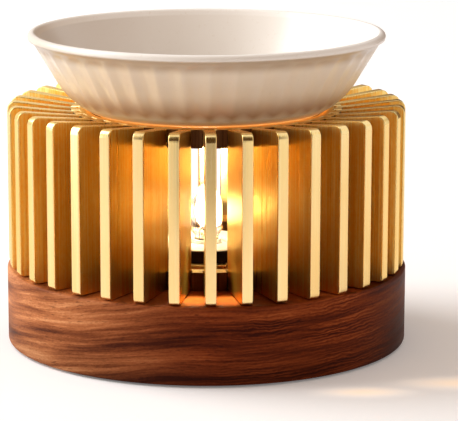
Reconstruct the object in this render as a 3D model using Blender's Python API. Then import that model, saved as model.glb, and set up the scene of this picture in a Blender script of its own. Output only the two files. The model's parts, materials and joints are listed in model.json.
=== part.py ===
"""Electric aroma lamp: a turned wooden base, a cage of upright radial fins held between two
slotted rings, a small screw-in bulb in its holder and a loose fluted dish on top.

Metres, +Z up. The origin is on the surface the lamp stands on, under the middle of the base.
The front of the lamp faces -Y. Run in Blender 4.5 with nothing else loaded.
"""
import math

import bmesh
import bpy
from mathutils import Matrix, Vector

MM = 0.001
TURN = 2.0 * math.pi

# Clearance left between neighbouring pieces
GAP = 0.3 * MM

# How far a cutter runs past the face that it opens
CUT_MARGIN = 1.0 * MM

# Points closer than this are one point
MERGE_DISTANCE = 0.002 * MM

# Facets round the holes and the small turned pieces
SMALL_STEPS = 16

# Wooden base
BASE_RADIUS = 65.0 * MM
BASE_HEIGHT = 24.6 * MM
BASE_EDGE = 0.9 * MM
ROOF_THICKNESS = 8.6 * MM
POCKET_RADIUS = 34.0 * MM
BASE_STEPS = 60

# Round plate that closes the underside
COVER_RADIUS = 46.0 * MM
COVER_THICKNESS = 2.0 * MM
COVER_EDGE = 0.4 * MM
COVER_STEPS = 36

# Rubber feet in shallow recesses
FOOT_COUNT = 4
FOOT_RADIUS = 5.0 * MM
FOOT_THICKNESS = 2.0 * MM
FOOT_STANDOFF = 0.6 * MM
FOOT_EDGE = 0.5 * MM

# Upright fins, standing just inside the edge of the base
FIN_COUNT = 36
FIN_THICKNESS = 3.4 * MM
FIN_SETBACK = 0.6 * MM
FIN_INNER_HEIGHT = 50.5 * MM
FIN_TOP_SLOPE = math.radians(6.9)
FIN_TOP_CORNER = 3.0 * MM
FIN_TOP_CORNER_STEPS = 4
FIN_FOOT_CORNER = 1.6 * MM
FIN_FOOT_CORNER_STEPS = 2
FIN_INNER_CORNER = 0.9 * MM

# The two slotted rings that hold the fins
RING_HEIGHT = 5.8 * MM
RING_INNER_RADIUS = 37.2 * MM
RING_BACK_WALL = 4.1 * MM
FIN_SEAT_DEPTH = 2.5 * MM
SEAT_WIDTH = 2.0 * MM
RING_STEPS = 72

# Long screws that clamp cover, base and lower ring together
SCREW_COUNT = 3
SCREW_RADIUS = 1.25 * MM
SCREW_HEAD_RADIUS = 2.6 * MM
SCREW_HEAD_HEIGHT = 1.3 * MM
SCREW_HEAD_INSET = 0.25 * MM
SCREW_GRIP = 4.0 * MM
SCREW_TIP = 0.4 * MM

# Bulb holder
HOLDER_RADIUS = 16.2 * MM
HOLDER_STANDOUT = 6.9 * MM
HOLDER_LENGTH = 21.0 * MM
HOLDER_FLOOR = 3.6 * MM
HOLDER_EDGE = 0.8 * MM
HOLDER_STEPS = 28
SLEEVE_STEPS = 24
SLEEVE_WALL = 1.0 * MM
SLEEVE_INSET = 0.8 * MM
NUT_WIDTH = 3.0 * MM
NUT_HEIGHT = 2.5 * MM
NUT_NOTCHES = 8
NUT_NOTCH_DEPTH = 0.9 * MM
NUT_NOTCH_WIDTH = 3.0 * MM
CONTACT_HEAD_RADIUS = 3.2 * MM
CONTACT_SHANK_RADIUS = 1.3 * MM
CONTACT_RIM = 0.8 * MM
CONTACT_DOME = 0.9 * MM
DOME_STEPS = 3

# Bulb with its screw cap
BULB_STEPS = 24
CAP_RADIUS = 4.75 * MM
CAP_WALL = 0.6 * MM
CAP_HEIGHT = 13.0 * MM
CAP_LIP = 1.4 * MM
TIP_RADIUS = 1.9 * MM
TIP_HEIGHT = 0.8 * MM
INSULATOR_HEIGHT = 1.4 * MM
INSULATOR_RIM = 0.4 * MM
INSULATOR_EDGE = 0.5 * MM
GLASS_RADIUS = 5.2 * MM
GLASS_WALL = 0.6 * MM
GLASS_NECK = 8.0 * MM
GLASS_BODY = 18.1 * MM
GLASS_SHOULDER = 3.2 * MM
GLASS_DOME_HEIGHT = 8.0 * MM
GLASS_DOME_STEPS = 5
STEM_RADIUS = 1.7 * MM
STEM_HEIGHT = 11.5 * MM
STEM_FLARE_HEIGHT = 1.6 * MM
STEM_EDGE = 0.4 * MM
FILAMENT_WIRE = 0.3 * MM
FILAMENT_SPAN = 3.4 * MM
FILAMENT_INSET = 0.5 * MM
FILAMENT_LEG = 5.2 * MM
FILAMENT_TURNS = 5
FILAMENT_TURN_POINTS = 6
FILAMENT_TURN_RADIUS = 0.9 * MM

# Bush for the supply cord, in the back wall of the base
GLAND_BORE_RADIUS = 2.7 * MM
GLAND_RADIUS = 4.2 * MM
GLAND_FLANGE_RADIUS = 5.6 * MM
GLAND_FLANGE_THICKNESS = 1.4 * MM
GLAND_LENGTH = 14.0 * MM
GLAND_INSET = 0.3 * MM
GLAND_EDGE = 0.4 * MM
GLAND_HOLE_OVERRUN = 2.0 * MM

# Fluted dish
DISH_RADIUS = 57.6 * MM
DISH_HEIGHT = 27.4 * MM
DISH_WALL = 3.0 * MM
DISH_FLOOR_RADIUS = 28.0 * MM
DISH_LEAN = math.radians(31.0)
DISH_FOOT_WIDTH = 2.8 * MM
DISH_FOOT_DEPTH = 0.6 * MM
LIP_RADIUS = 1.2 * MM
LIP_OVERHANG = 0.5 * MM
LIP_TUCK = 0.9 * MM
LIP_START = math.radians(-25.0)
BAND_HEIGHT = 1.8 * MM
FLUTE_COUNT = 40
FLUTE_STEPS = 3
FLUTE_DEPTH = 0.7 * MM
FLUTE_FADE = 4.0 * MM
FLUTE_RISE = 0.3 * MM
ARC_STEPS = 4
LIP_STEPS = 3

# Heights that follow from the sizes above
base_bottom = FOOT_STANDOFF
base_top = base_bottom + BASE_HEIGHT
roof_underside = base_top - ROOF_THICKNESS
cover_top = base_bottom + COVER_THICKNESS
cage_bottom = base_top + GAP
rebate_radius = COVER_RADIUS + GAP
foot_circle = (rebate_radius + BASE_RADIUS) / 2.0
slot_floor_radius = RING_INNER_RADIUS + RING_BACK_WALL
fin_inner_radius = slot_floor_radius + GAP
fin_outer_radius = BASE_RADIUS - FIN_SETBACK
fin_inner_top = cage_bottom + FIN_INNER_HEIGHT
ring_outer_radius = fin_inner_radius + FIN_SEAT_DEPTH
ring_top = fin_inner_top + GAP
holder_top = base_top + HOLDER_STANDOUT
holder_bottom = holder_top - HOLDER_LENGTH
holder_floor_top = holder_bottom + HOLDER_FLOOR
sleeve_inner_radius = CAP_RADIUS + GAP
sleeve_outer_radius = sleeve_inner_radius + SLEEVE_WALL
holder_bore_radius = sleeve_outer_radius + GAP
contact_bottom = holder_floor_top + GAP
contact_top = contact_bottom + CONTACT_RIM + CONTACT_DOME
tip_bottom = contact_top + GAP
insulator_bottom = tip_bottom + TIP_HEIGHT + GAP
cap_bottom = insulator_bottom + INSULATOR_HEIGHT + GAP
cap_top = cap_bottom + CAP_HEIGHT
neck_radius = CAP_RADIUS - CAP_WALL - GAP
glass_bottom = cap_top - GLASS_NECK
glass_top = cap_top + GLASS_BODY
stem_top = glass_bottom + STEM_HEIGHT

# The dish hangs in the cone turned into the upper ring: its rounded underside touches there
dish_arc_angle = math.pi / 2.0 - DISH_LEAN
wall_foot_radius = DISH_RADIUS - LIP_OVERHANG - (DISH_HEIGHT - LIP_RADIUS) * math.tan(DISH_LEAN)
dish_arc_radius = (wall_foot_radius - DISH_FLOOR_RADIUS) / math.tan(dish_arc_angle / 2.0)
seat_radius = RING_INNER_RADIUS + SEAT_WIDTH / 2.0
seat_slope = math.asin((seat_radius - DISH_FLOOR_RADIUS) / dish_arc_radius)
seat_depth = SEAT_WIDTH * math.tan(seat_slope)
seat_height = ring_top - seat_depth / 2.0
dish_bottom = (seat_height + GAP / math.cos(seat_slope)
               - dish_arc_radius * (1.0 - math.cos(seat_slope)))

screw_circle = (RING_INNER_RADIUS + slot_floor_radius) / 2.0
screw_hole_radius = SCREW_RADIUS + GAP
screw_bottom = base_bottom + SCREW_HEAD_INSET
screw_top = cage_bottom + SCREW_GRIP
fin_pitch = TURN / FIN_COUNT


# Helpers

def clear_scene():
    for old in list(bpy.data.objects):
        bpy.data.objects.remove(old, do_unlink=True)


def material(name, colour, roughness, metallic=0.0, **extra):
    mat = bpy.data.materials.new(name)
    mat.use_nodes = True
    shader = mat.node_tree.nodes["Principled BSDF"]
    shader.inputs["Base Color"].default_value = (*colour, 1.0)
    shader.inputs["Roughness"].default_value = roughness
    shader.inputs["Metallic"].default_value = metallic
    for socket, value in extra.items():
        shader.inputs[socket.replace("_", " ")].default_value = value
    return mat


def finish_mesh(bm, name, smooth_angle=35.0):
    """Turn a bmesh into a mesh with outward faces, smooth but for its real edges."""
    bmesh.ops.recalc_face_normals(bm, faces=bm.faces)
    mesh = bpy.data.meshes.new(name)
    bm.to_mesh(mesh)
    bm.free()
    mesh.shade_smooth()
    mesh.set_sharp_from_angle(angle=math.radians(smooth_angle))
    return mesh


def add_object(name, mesh, mat, parent=None):
    obj = bpy.data.objects.new(name, mesh)
    bpy.context.scene.collection.objects.link(obj)
    if mat is not None and not mesh.materials:
        mesh.materials.append(mat)
    obj.parent = parent
    return obj


def turned_bmesh(profile, steps, closed=False):
    """Spin an (r, z) profile about Z. A closed profile makes a ring."""
    bm = bmesh.new()
    verts = [bm.verts.new((r, 0.0, z)) for r, z in profile]
    edges = [bm.edges.new(pair) for pair in zip(verts, verts[1:])]
    if closed:
        edges.append(bm.edges.new((verts[-1], verts[0])))
    bmesh.ops.spin(bm, geom=verts + edges, cent=(0.0, 0.0, 0.0), axis=(0.0, 0.0, 1.0),
                   angle=TURN, steps=steps, use_merge=True, use_duplicate=False)
    bmesh.ops.remove_doubles(bm, verts=bm.verts, dist=MERGE_DISTANCE)
    return bm


def turned(name, profile, steps, mat, closed=False, parent=None):
    return add_object(name, finish_mesh(turned_bmesh(profile, steps, closed), name), mat, parent)


def arc(centre, radius, start, end, steps):
    """Points of an (r, z) arc; angles in radians from +r towards +z."""
    points = []
    for i in range(steps + 1):
        angle = start + (end - start) * i / steps
        points.append((centre[0] + radius * math.cos(angle), centre[1] + radius * math.sin(angle)))
    return points


def cutter(name, bm):
    obj = add_object(name, finish_mesh(bm, name), None)
    obj.hide_render = True
    obj.display_type = 'WIRE'
    return obj


def cut(target, tool):
    mod = target.modifiers.new("cut " + tool.name, 'BOOLEAN')
    mod.operation = 'DIFFERENCE'
    mod.solver = 'EXACT'
    mod.object = tool


def add_turned(bm, profile, steps, matrix):
    """Add a turned solid, placed by a matrix, to a cutter's bmesh."""
    part = turned_bmesh(profile, steps)
    bmesh.ops.recalc_face_normals(part, faces=part.faces)
    part.transform(matrix)
    temp = bpy.data.meshes.new("turned piece")
    part.to_mesh(temp)
    part.free()
    bm.from_mesh(temp)
    bpy.data.meshes.remove(temp)


def rod(radius, low, high):
    return [(0.0, low), (radius, low), (radius, high), (0.0, high)]


def ring_section(inner, outer, low, high):
    return [(inner, low), (outer, low), (outer, high), (inner, high)]


def dome(radius, rise, low):
    """Points of a low dome, from its rim up to its middle."""
    sphere = (radius ** 2 + rise ** 2) / (2.0 * rise)
    half = math.asin(radius / sphere)
    points = arc((0.0, low + rise - sphere), sphere, math.pi / 2.0 - half, math.pi / 2.0, DOME_STEPS)
    points[-1] = (0.0, low + rise)
    return points


def around(angle, radius, height=0.0):
    """Matrix that stands a piece at an angle from the front, at a radius and a height."""
    return Matrix.Rotation(angle, 4, 'Z') @ Matrix.Translation((0.0, -radius, height))


def foot_angle(i):
    return TURN * (i + 0.5) / FOOT_COUNT


def screw_angle(i):
    """Screws go up between two fins, so their angle is half a pitch off a whole number of fins."""
    return (round(i * FIN_COUNT / SCREW_COUNT) + 0.5) * fin_pitch


# Pieces of the base

def make_wood_base(mat):
    rebate_top = cover_top + GAP
    bore_radius = HOLDER_RADIUS + GAP
    edge = BASE_EDGE
    profile = [(bore_radius, base_top)]
    profile += arc((BASE_RADIUS - edge, base_top - edge), edge, math.pi / 2.0, 0.0, 2)
    profile += [(BASE_RADIUS, base_bottom + edge), (BASE_RADIUS - edge, base_bottom),
                (rebate_radius, base_bottom), (rebate_radius, rebate_top),
                (POCKET_RADIUS, rebate_top), (POCKET_RADIUS, roof_underside),
                (bore_radius, roof_underside)]
    base = turned("wood_base", profile, BASE_STEPS, mat, closed=True)

    holes = bmesh.new()
    recess_top = FOOT_THICKNESS + GAP
    for i in range(FOOT_COUNT):
        add_turned(holes, rod(FOOT_RADIUS + GAP, base_bottom - CUT_MARGIN, recess_top), SMALL_STEPS,
                   around(foot_angle(i), foot_circle))
    for i in range(SCREW_COUNT):
        add_turned(holes, rod(screw_hole_radius, base_bottom, base_top + CUT_MARGIN), SMALL_STEPS,
                   around(screw_angle(i), screw_circle))
    cut(base, cutter("base_holes_cutter", holes))

    inlet = bmesh.new()
    start = POCKET_RADIUS - GLAND_HOLE_OVERRUN
    flange_inner = BASE_RADIUS - GLAND_INSET - GLAND_FLANGE_THICKNESS - 2.0 * GAP
    outside = BASE_RADIUS + CUT_MARGIN
    profile = [(0.0, start), (GLAND_RADIUS + GAP, start), (GLAND_RADIUS + GAP, flange_inner),
               (GLAND_FLANGE_RADIUS + GAP, flange_inner), (GLAND_FLANGE_RADIUS + GAP, outside),
               (0.0, outside)]
    add_turned(inlet, profile, SMALL_STEPS, gland_matrix())
    cut(base, cutter("cord_inlet_cutter", inlet))
    return base


def gland_matrix():
    """The bush lies along +Y at the middle height of the pocket."""
    height = (cover_top + GAP + roof_underside) / 2.0
    return Matrix.Translation((0.0, 0.0, height)) @ Matrix.Rotation(-math.pi / 2.0, 4, 'X')


def make_cable_gland(mat):
    face = BASE_RADIUS - GLAND_INSET - GAP
    shoulder = face - GLAND_FLANGE_THICKNESS
    tail = face - GLAND_LENGTH
    soft = GLAND_EDGE
    profile = [(GLAND_BORE_RADIUS, tail), (GLAND_RADIUS - soft, tail), (GLAND_RADIUS, tail + soft),
               (GLAND_RADIUS, shoulder), (GLAND_FLANGE_RADIUS, shoulder),
               (GLAND_FLANGE_RADIUS, face - soft), (GLAND_FLANGE_RADIUS - soft, face),
               (GLAND_BORE_RADIUS + soft, face), (GLAND_BORE_RADIUS, face - soft)]
    gland = turned("cable_gland", profile, SMALL_STEPS, mat, closed=True)
    gland.matrix_world = gland_matrix()
    return gland


def make_base_cover(mat):
    edge = COVER_EDGE
    profile = [(0.0, base_bottom), (COVER_RADIUS - edge, base_bottom),
               (COVER_RADIUS, base_bottom + edge), (COVER_RADIUS, cover_top), (0.0, cover_top)]
    cover = turned("base_cover", profile, COVER_STEPS, mat)
    holes = bmesh.new()
    below = base_bottom - CUT_MARGIN
    above = cover_top + CUT_MARGIN
    cone_top = screw_bottom + SCREW_HEAD_HEIGHT + GAP
    profile = [(0.0, below), (SCREW_HEAD_RADIUS + GAP, below),
               (SCREW_HEAD_RADIUS + GAP, screw_bottom + GAP), (screw_hole_radius, cone_top),
               (screw_hole_radius, above), (0.0, above)]
    for i in range(SCREW_COUNT):
        add_turned(holes, profile, SMALL_STEPS, around(screw_angle(i), screw_circle))
    cut(cover, cutter("cover_holes_cutter", holes))
    return cover


def make_feet(mat):
    edge = FOOT_EDGE
    profile = [(0.0, 0.0), (FOOT_RADIUS - edge, 0.0), (FOOT_RADIUS, edge),
               (FOOT_RADIUS, FOOT_THICKNESS), (0.0, FOOT_THICKNESS)]
    mesh = finish_mesh(turned_bmesh(profile, SMALL_STEPS), "foot")
    for i in range(FOOT_COUNT):
        foot = add_object(f"foot_{i + 1}", mesh, mat)
        foot.matrix_world = around(foot_angle(i), foot_circle)


def make_screws(mat):
    head_top = screw_bottom + SCREW_HEAD_HEIGHT
    profile = [(0.0, screw_bottom), (SCREW_HEAD_RADIUS, screw_bottom), (SCREW_RADIUS, head_top),
               (SCREW_RADIUS, screw_top - SCREW_TIP), (SCREW_RADIUS - SCREW_TIP, screw_top),
               (0.0, screw_top)]
    mesh = finish_mesh(turned_bmesh(profile, SMALL_STEPS), "clamp_screw")
    for i in range(SCREW_COUNT):
        screw = add_object(f"clamp_screw_{i + 1}", mesh, mat)
        screw.matrix_world = around(screw_angle(i), screw_circle)


# The fin cage

def make_ring(name, top, mat, screw_holes):
    """A turned ring with a conical seat inside its top edge and one slot for each fin."""
    bottom = top - RING_HEIGHT
    profile = [(RING_INNER_RADIUS, bottom), (ring_outer_radius, bottom), (ring_outer_radius, top),
               (RING_INNER_RADIUS + SEAT_WIDTH, top), (RING_INNER_RADIUS, top - seat_depth)]
    ring = turned(name, profile, RING_STEPS, mat, closed=True)

    slots = bmesh.new()
    slot_width = FIN_THICKNESS + 2.0 * GAP
    slot_length = ring_outer_radius - slot_floor_radius + CUT_MARGIN
    size = Matrix.Diagonal((slot_width, slot_length, RING_HEIGHT + 2.0 * CUT_MARGIN, 1.0))
    for i in range(FIN_COUNT):
        place = around(i * fin_pitch, slot_floor_radius + slot_length / 2.0, top - RING_HEIGHT / 2.0)
        bmesh.ops.create_cube(slots, size=1.0, matrix=place @ size)
    cut(ring, cutter(name + "_slots_cutter", slots))

    if screw_holes:
        holes = bmesh.new()
        for i in range(SCREW_COUNT):
            add_turned(holes, rod(screw_hole_radius, bottom - CUT_MARGIN, screw_top + GAP), SMALL_STEPS,
                       around(screw_angle(i), screw_circle))
        cut(ring, cutter(name + "_holes_cutter", holes))
    return ring


def fin_mesh():
    """Flat plate, drawn in the plane of r and z and extruded to its thickness.

    The top edge slopes down towards the middle, so that the fins together form a shallow funnel.
    """
    inner, outer = fin_inner_radius, fin_outer_radius
    outer_top = fin_inner_top + (outer - inner) * math.tan(FIN_TOP_SLOPE)
    bm = bmesh.new()
    corners = [(inner, cage_bottom), (outer, cage_bottom), (outer, outer_top), (inner, fin_inner_top)]
    verts = [bm.verts.new((-FIN_THICKNESS / 2.0, -r, z)) for r, z in corners]
    bm.faces.new(verts)
    rounding = [(verts[1], FIN_FOOT_CORNER, FIN_FOOT_CORNER_STEPS),
                (verts[2], FIN_TOP_CORNER, FIN_TOP_CORNER_STEPS), (verts[3], FIN_INNER_CORNER, 1)]
    for vert, radius, segments in rounding:
        bmesh.ops.bevel(bm, geom=[vert], offset=radius, segments=segments, profile=0.5,
                        affect='VERTICES')
    swept = bmesh.ops.extrude_face_region(bm, geom=list(bm.faces))
    moved = [item for item in swept["geom"] if isinstance(item, bmesh.types.BMVert)]
    bmesh.ops.translate(bm, verts=moved, vec=(FIN_THICKNESS, 0.0, 0.0))
    return finish_mesh(bm, "fin")


def make_fins(mat):
    mesh = fin_mesh()
    for i in range(FIN_COUNT):
        fin = add_object(f"fin_{i + 1:02d}", mesh, mat)
        fin.rotation_euler = (0.0, 0.0, i * fin_pitch)


# Bulb holder

def make_holder(mat):
    edge = HOLDER_EDGE
    rivet_hole = CONTACT_SHANK_RADIUS + GAP
    profile = [(rivet_hole, holder_bottom), (HOLDER_RADIUS - edge, holder_bottom),
               (HOLDER_RADIUS, holder_bottom + edge), (HOLDER_RADIUS, holder_top - edge),
               (HOLDER_RADIUS - edge, holder_top), (holder_bore_radius, holder_top),
               (holder_bore_radius, holder_floor_top), (rivet_hole, holder_floor_top)]
    return turned("holder_body", profile, HOLDER_STEPS, mat, closed=True)


def make_sleeve(mat):
    low, high = holder_floor_top + GAP, holder_top - SLEEVE_INSET
    profile = ring_section(sleeve_inner_radius, sleeve_outer_radius, low, high)
    return turned("holder_sleeve", profile, SLEEVE_STEPS, mat, closed=True)


def make_nut(name, low, mat):
    """Flat ring nut with notches for a pin wrench."""
    inner = HOLDER_RADIUS + GAP
    outer = inner + NUT_WIDTH
    profile = ring_section(inner, outer, low, low + NUT_HEIGHT)
    nut = turned(name, profile, SLEEVE_STEPS, mat, closed=True)
    notches = bmesh.new()
    size = Matrix.Diagonal((NUT_NOTCH_WIDTH, 2.0 * NUT_NOTCH_DEPTH, 2.0 * NUT_HEIGHT, 1.0))
    for i in range(NUT_NOTCHES):
        place = around((i + 0.5) * TURN / NUT_NOTCHES, outer, low + NUT_HEIGHT / 2.0)
        bmesh.ops.create_cube(notches, size=1.0, matrix=place @ size)
    cut(nut, cutter(name + "_notches_cutter", notches))
    return nut


def make_contact(mat):
    """Riveted centre contact: a shank through the floor under a low domed head."""
    foot = holder_bottom - CONTACT_RIM
    profile = [(0.0, foot), (CONTACT_SHANK_RADIUS, foot), (CONTACT_SHANK_RADIUS, contact_bottom),
               (CONTACT_HEAD_RADIUS, contact_bottom)]
    profile += dome(CONTACT_HEAD_RADIUS, CONTACT_DOME, contact_bottom + CONTACT_RIM)
    return turned("holder_contact", profile, SMALL_STEPS, mat)


# Bulb

def make_bulb_contact(mat):
    """Solder tip: a dome that points down."""
    top = tip_bottom + TIP_HEIGHT
    profile = [(r, tip_bottom + top - z) for r, z in dome(TIP_RADIUS, TIP_HEIGHT, tip_bottom)[::-1]]
    profile.append((0.0, top))
    return turned("bulb_contact", profile, SMALL_STEPS, mat)


def make_insulator(mat):
    top = insulator_bottom + INSULATOR_HEIGHT
    wide = CAP_RADIUS - CAP_LIP
    profile = [(0.0, insulator_bottom), (TIP_RADIUS + INSULATOR_RIM, insulator_bottom),
               (wide, top - INSULATOR_EDGE), (wide, top), (0.0, top)]
    return turned("bulb_insulator", profile, SMALL_STEPS, mat)


def make_cap(mat):
    """Screw cap: a thin shell with an inward lip at the bottom."""
    inner = CAP_RADIUS - CAP_WALL
    lip_inner = CAP_RADIUS - CAP_LIP - CAP_WALL
    profile = [(lip_inner, cap_bottom), (CAP_RADIUS - CAP_LIP, cap_bottom),
               (CAP_RADIUS, cap_bottom + CAP_LIP), (CAP_RADIUS, cap_top), (inner, cap_top),
               (inner, cap_bottom + CAP_LIP + CAP_WALL / 2.0), (lip_inner, cap_bottom + CAP_WALL)]
    return turned("bulb_cap", profile, BULB_STEPS, mat, closed=True)


def make_glass(mat):
    """Slim envelope with a long round top, open at the foot of its neck."""
    def outline(offset):
        neck = neck_radius - offset
        body = GLASS_RADIUS - offset
        shoulder_low = cap_top + GAP
        dome_base = glass_top - GLASS_DOME_HEIGHT
        rise = GLASS_DOME_HEIGHT - offset
        points = [(neck, glass_bottom), (neck, shoulder_low), (body, shoulder_low + GLASS_SHOULDER)]
        points += [(r, dome_base + z * rise / body)
                   for r, z in arc((0.0, 0.0), body, 0.0, math.pi / 2.0, GLASS_DOME_STEPS)]
        points[-1] = (0.0, dome_base + rise)
        return points
    profile = outline(0.0) + outline(GLASS_WALL)[::-1]
    bm = turned_bmesh(profile, BULB_STEPS)
    foot = [edge for edge in bm.edges if edge.is_boundary]
    bmesh.ops.bridge_loops(bm, edges=foot)
    return add_object("bulb_glass", finish_mesh(bm, "bulb_glass"), mat)


def make_stem(mat):
    """Glass mount inside the neck: a flared foot and a thin post."""
    flare = neck_radius - GLASS_WALL - GAP
    profile = [(0.0, glass_bottom), (flare, glass_bottom), (STEM_RADIUS, glass_bottom + STEM_FLARE_HEIGHT),
               (STEM_RADIUS, stem_top - STEM_EDGE), (STEM_RADIUS - STEM_EDGE, stem_top), (0.0, stem_top)]
    return turned("bulb_stem", profile, SMALL_STEPS, mat)


def make_filament(mat):
    """One wire: up a leg, along a coil and down the other leg."""
    half = FILAMENT_SPAN / 2.0
    leg_foot = stem_top + GAP + FILAMENT_WIRE
    coil_height = leg_foot + FILAMENT_LEG
    foot_x = STEM_RADIUS - FILAMENT_INSET
    points = [Vector((-foot_x, 0.0, leg_foot))]
    total = FILAMENT_TURNS * FILAMENT_TURN_POINTS
    for i in range(total + 1):
        angle = TURN * i / FILAMENT_TURN_POINTS - math.pi / 2.0
        along = -half + FILAMENT_SPAN * i / total
        points.append(Vector((along, FILAMENT_TURN_RADIUS * math.cos(angle),
                              coil_height + FILAMENT_TURN_RADIUS * math.sin(angle))))
    points.append(Vector((foot_x, 0.0, leg_foot)))
    curve = bpy.data.curves.new("bulb_filament", 'CURVE')
    curve.dimensions = '3D'
    curve.bevel_depth = FILAMENT_WIRE / 2.0
    curve.bevel_resolution = 0
    curve.use_fill_caps = True
    spline = curve.splines.new('POLY')
    spline.points.add(len(points) - 1)
    for target, point in zip(spline.points, points):
        target.co = (*point, 1.0)
    obj = bpy.data.objects.new("bulb_filament", curve)
    bpy.context.scene.collection.objects.link(obj)
    curve.materials.append(mat)
    return obj


# Dish

def flute_depth_at(height):
    """Flutes fade in above the floor and out again below the plain band under the lip."""
    low = dish_bottom + FLUTE_RISE
    high = dish_bottom + DISH_HEIGHT - LIP_RADIUS - BAND_HEIGHT
    fade = min((height - low) / FLUTE_FADE, (high - height) / FLUTE_FADE)
    return FLUTE_DEPTH * max(0.0, min(1.0, fade))


def make_dish(mat):
    rho = dish_arc_radius
    lean = DISH_LEAN
    centre = (DISH_FLOOR_RADIUS, dish_bottom + rho)
    start = -math.pi / 2.0
    end = -lean
    top = dish_bottom + DISH_HEIGHT
    lip_centre = (DISH_RADIUS - LIP_RADIUS, top - LIP_RADIUS)

    def wall_radius(height):
        """Outer wall, a cone tangent to the arc."""
        return wall_foot_radius + (height - dish_bottom) * math.tan(lean)

    flute_top = top - LIP_RADIUS - BAND_HEIGHT
    under_lip = lip_centre[1] - LIP_TUCK
    outer = arc(centre, rho, start, end, ARC_STEPS)
    outer += [(wall_radius(z), z) for z in (flute_top - FLUTE_FADE, flute_top, under_lip)]
    lip = arc(lip_centre, LIP_RADIUS, LIP_START, math.pi - lean, LIP_STEPS)
    inner = [(r, z) for r, z in arc(centre, rho - DISH_WALL, end, start, ARC_STEPS - 1)]
    foot_inner = DISH_FLOOR_RADIUS - DISH_FOOT_WIDTH
    recess = dish_bottom + DISH_FOOT_DEPTH
    profile = [(0.0, recess), (foot_inner - DISH_FOOT_DEPTH, recess), (foot_inner, dish_bottom)]
    profile += outer + lip + inner + [(0.0, dish_bottom + DISH_WALL)]
    outer_rows = range(3, 3 + len(outer))

    bm = bmesh.new()
    row = bm.verts.layers.int.new("row")
    verts = [bm.verts.new((r, 0.0, z)) for r, z in profile]
    for index, vert in enumerate(verts):
        vert[row] = index
    edges = [bm.edges.new(pair) for pair in zip(verts, verts[1:])]
    bmesh.ops.spin(bm, geom=verts + edges, cent=(0.0, 0.0, 0.0), axis=(0.0, 0.0, 1.0), angle=TURN,
                   steps=FLUTE_COUNT * FLUTE_STEPS, use_merge=True, use_duplicate=False)
    bmesh.ops.remove_doubles(bm, verts=bm.verts, dist=MERGE_DISTANCE)

    for vert in bm.verts:
        if vert[row] not in outer_rows:
            continue
        angle = math.atan2(vert.co.x, -vert.co.y)
        reach = (math.hypot(vert.co.x, vert.co.y) - DISH_FLOOR_RADIUS) / rho
        slope = min(math.asin(max(0.0, min(1.0, reach))), dish_arc_angle)
        depth = flute_depth_at(vert.co.z) * (0.5 - 0.5 * math.cos(FLUTE_COUNT * angle))
        outward = Vector((math.sin(angle), -math.cos(angle), 0.0))
        normal = outward * math.sin(slope) - Vector((0.0, 0.0, math.cos(slope)))
        vert.co -= normal * depth
    return add_object("dish", finish_mesh(bm, "dish", smooth_angle=50.0), mat)


def build():
    clear_scene()
    wood = material("stained_wood", (0.16, 0.045, 0.02), 0.42)
    gold = material("satin_gold", (0.86, 0.56, 0.24), 0.28, metallic=1.0)
    steel = material("zinc_steel", (0.62, 0.62, 0.63), 0.35, metallic=1.0)
    plate = material("black_plate", (0.03, 0.03, 0.032), 0.5)
    rubber = material("grey_rubber", (0.06, 0.06, 0.065), 0.8)
    bakelite = material("brown_moulding", (0.045, 0.025, 0.018), 0.35)
    brass = material("brass", (0.8, 0.58, 0.25), 0.3, metallic=1.0)
    nickel = material("nickel_cap", (0.72, 0.69, 0.63), 0.25, metallic=1.0)
    black_glass = material("cap_glass", (0.02, 0.02, 0.03), 0.1)
    clear_glass = material("bulb_glass", (1.0, 0.95, 0.88), 0.05, Transmission_Weight=1.0, IOR=1.45)
    hot_wire = material("filament", (1.0, 0.72, 0.35), 0.4, Emission_Color=(1.0, 0.62, 0.25, 1.0),
                        Emission_Strength=20.0)
    glaze = material("cream_glaze", (0.86, 0.78, 0.68), 0.16)

    make_wood_base(wood)
    make_cable_gland(rubber)
    make_base_cover(plate)
    make_feet(rubber)
    make_screws(steel)
    make_ring("lower_ring", cage_bottom + RING_HEIGHT, gold, screw_holes=True)
    make_ring("upper_ring", ring_top, gold, screw_holes=False)
    make_fins(gold)
    make_holder(bakelite)
    make_sleeve(nickel)
    make_nut("holder_nut_top", base_top + GAP, brass)
    make_nut("holder_nut_bottom", roof_underside - GAP - NUT_HEIGHT, brass)
    make_contact(brass)
    make_bulb_contact(steel)
    make_insulator(black_glass)
    make_cap(nickel)
    make_glass(clear_glass)
    make_stem(clear_glass)
    make_filament(hot_wire)
    make_dish(glaze)


build()
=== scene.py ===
# %% [markdown]
# # An electric aroma lamp
#
# This lesson dresses a finished CAD model for a picture. The lamp is a turned wooden base, a cage
# of 36 upright gold fins, a small screw-in bulb in the middle and a loose cream dish on top that is
# warmed by the bulb. The CAD model is loaded first, and it stays where it is. Each piece that we
# model again sits exactly where its CAD node is, and rides on the same moving body.

# %% Load the CAD model
import json
import math

import bmesh
import bpy
from mathutils import Matrix, Vector

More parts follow.
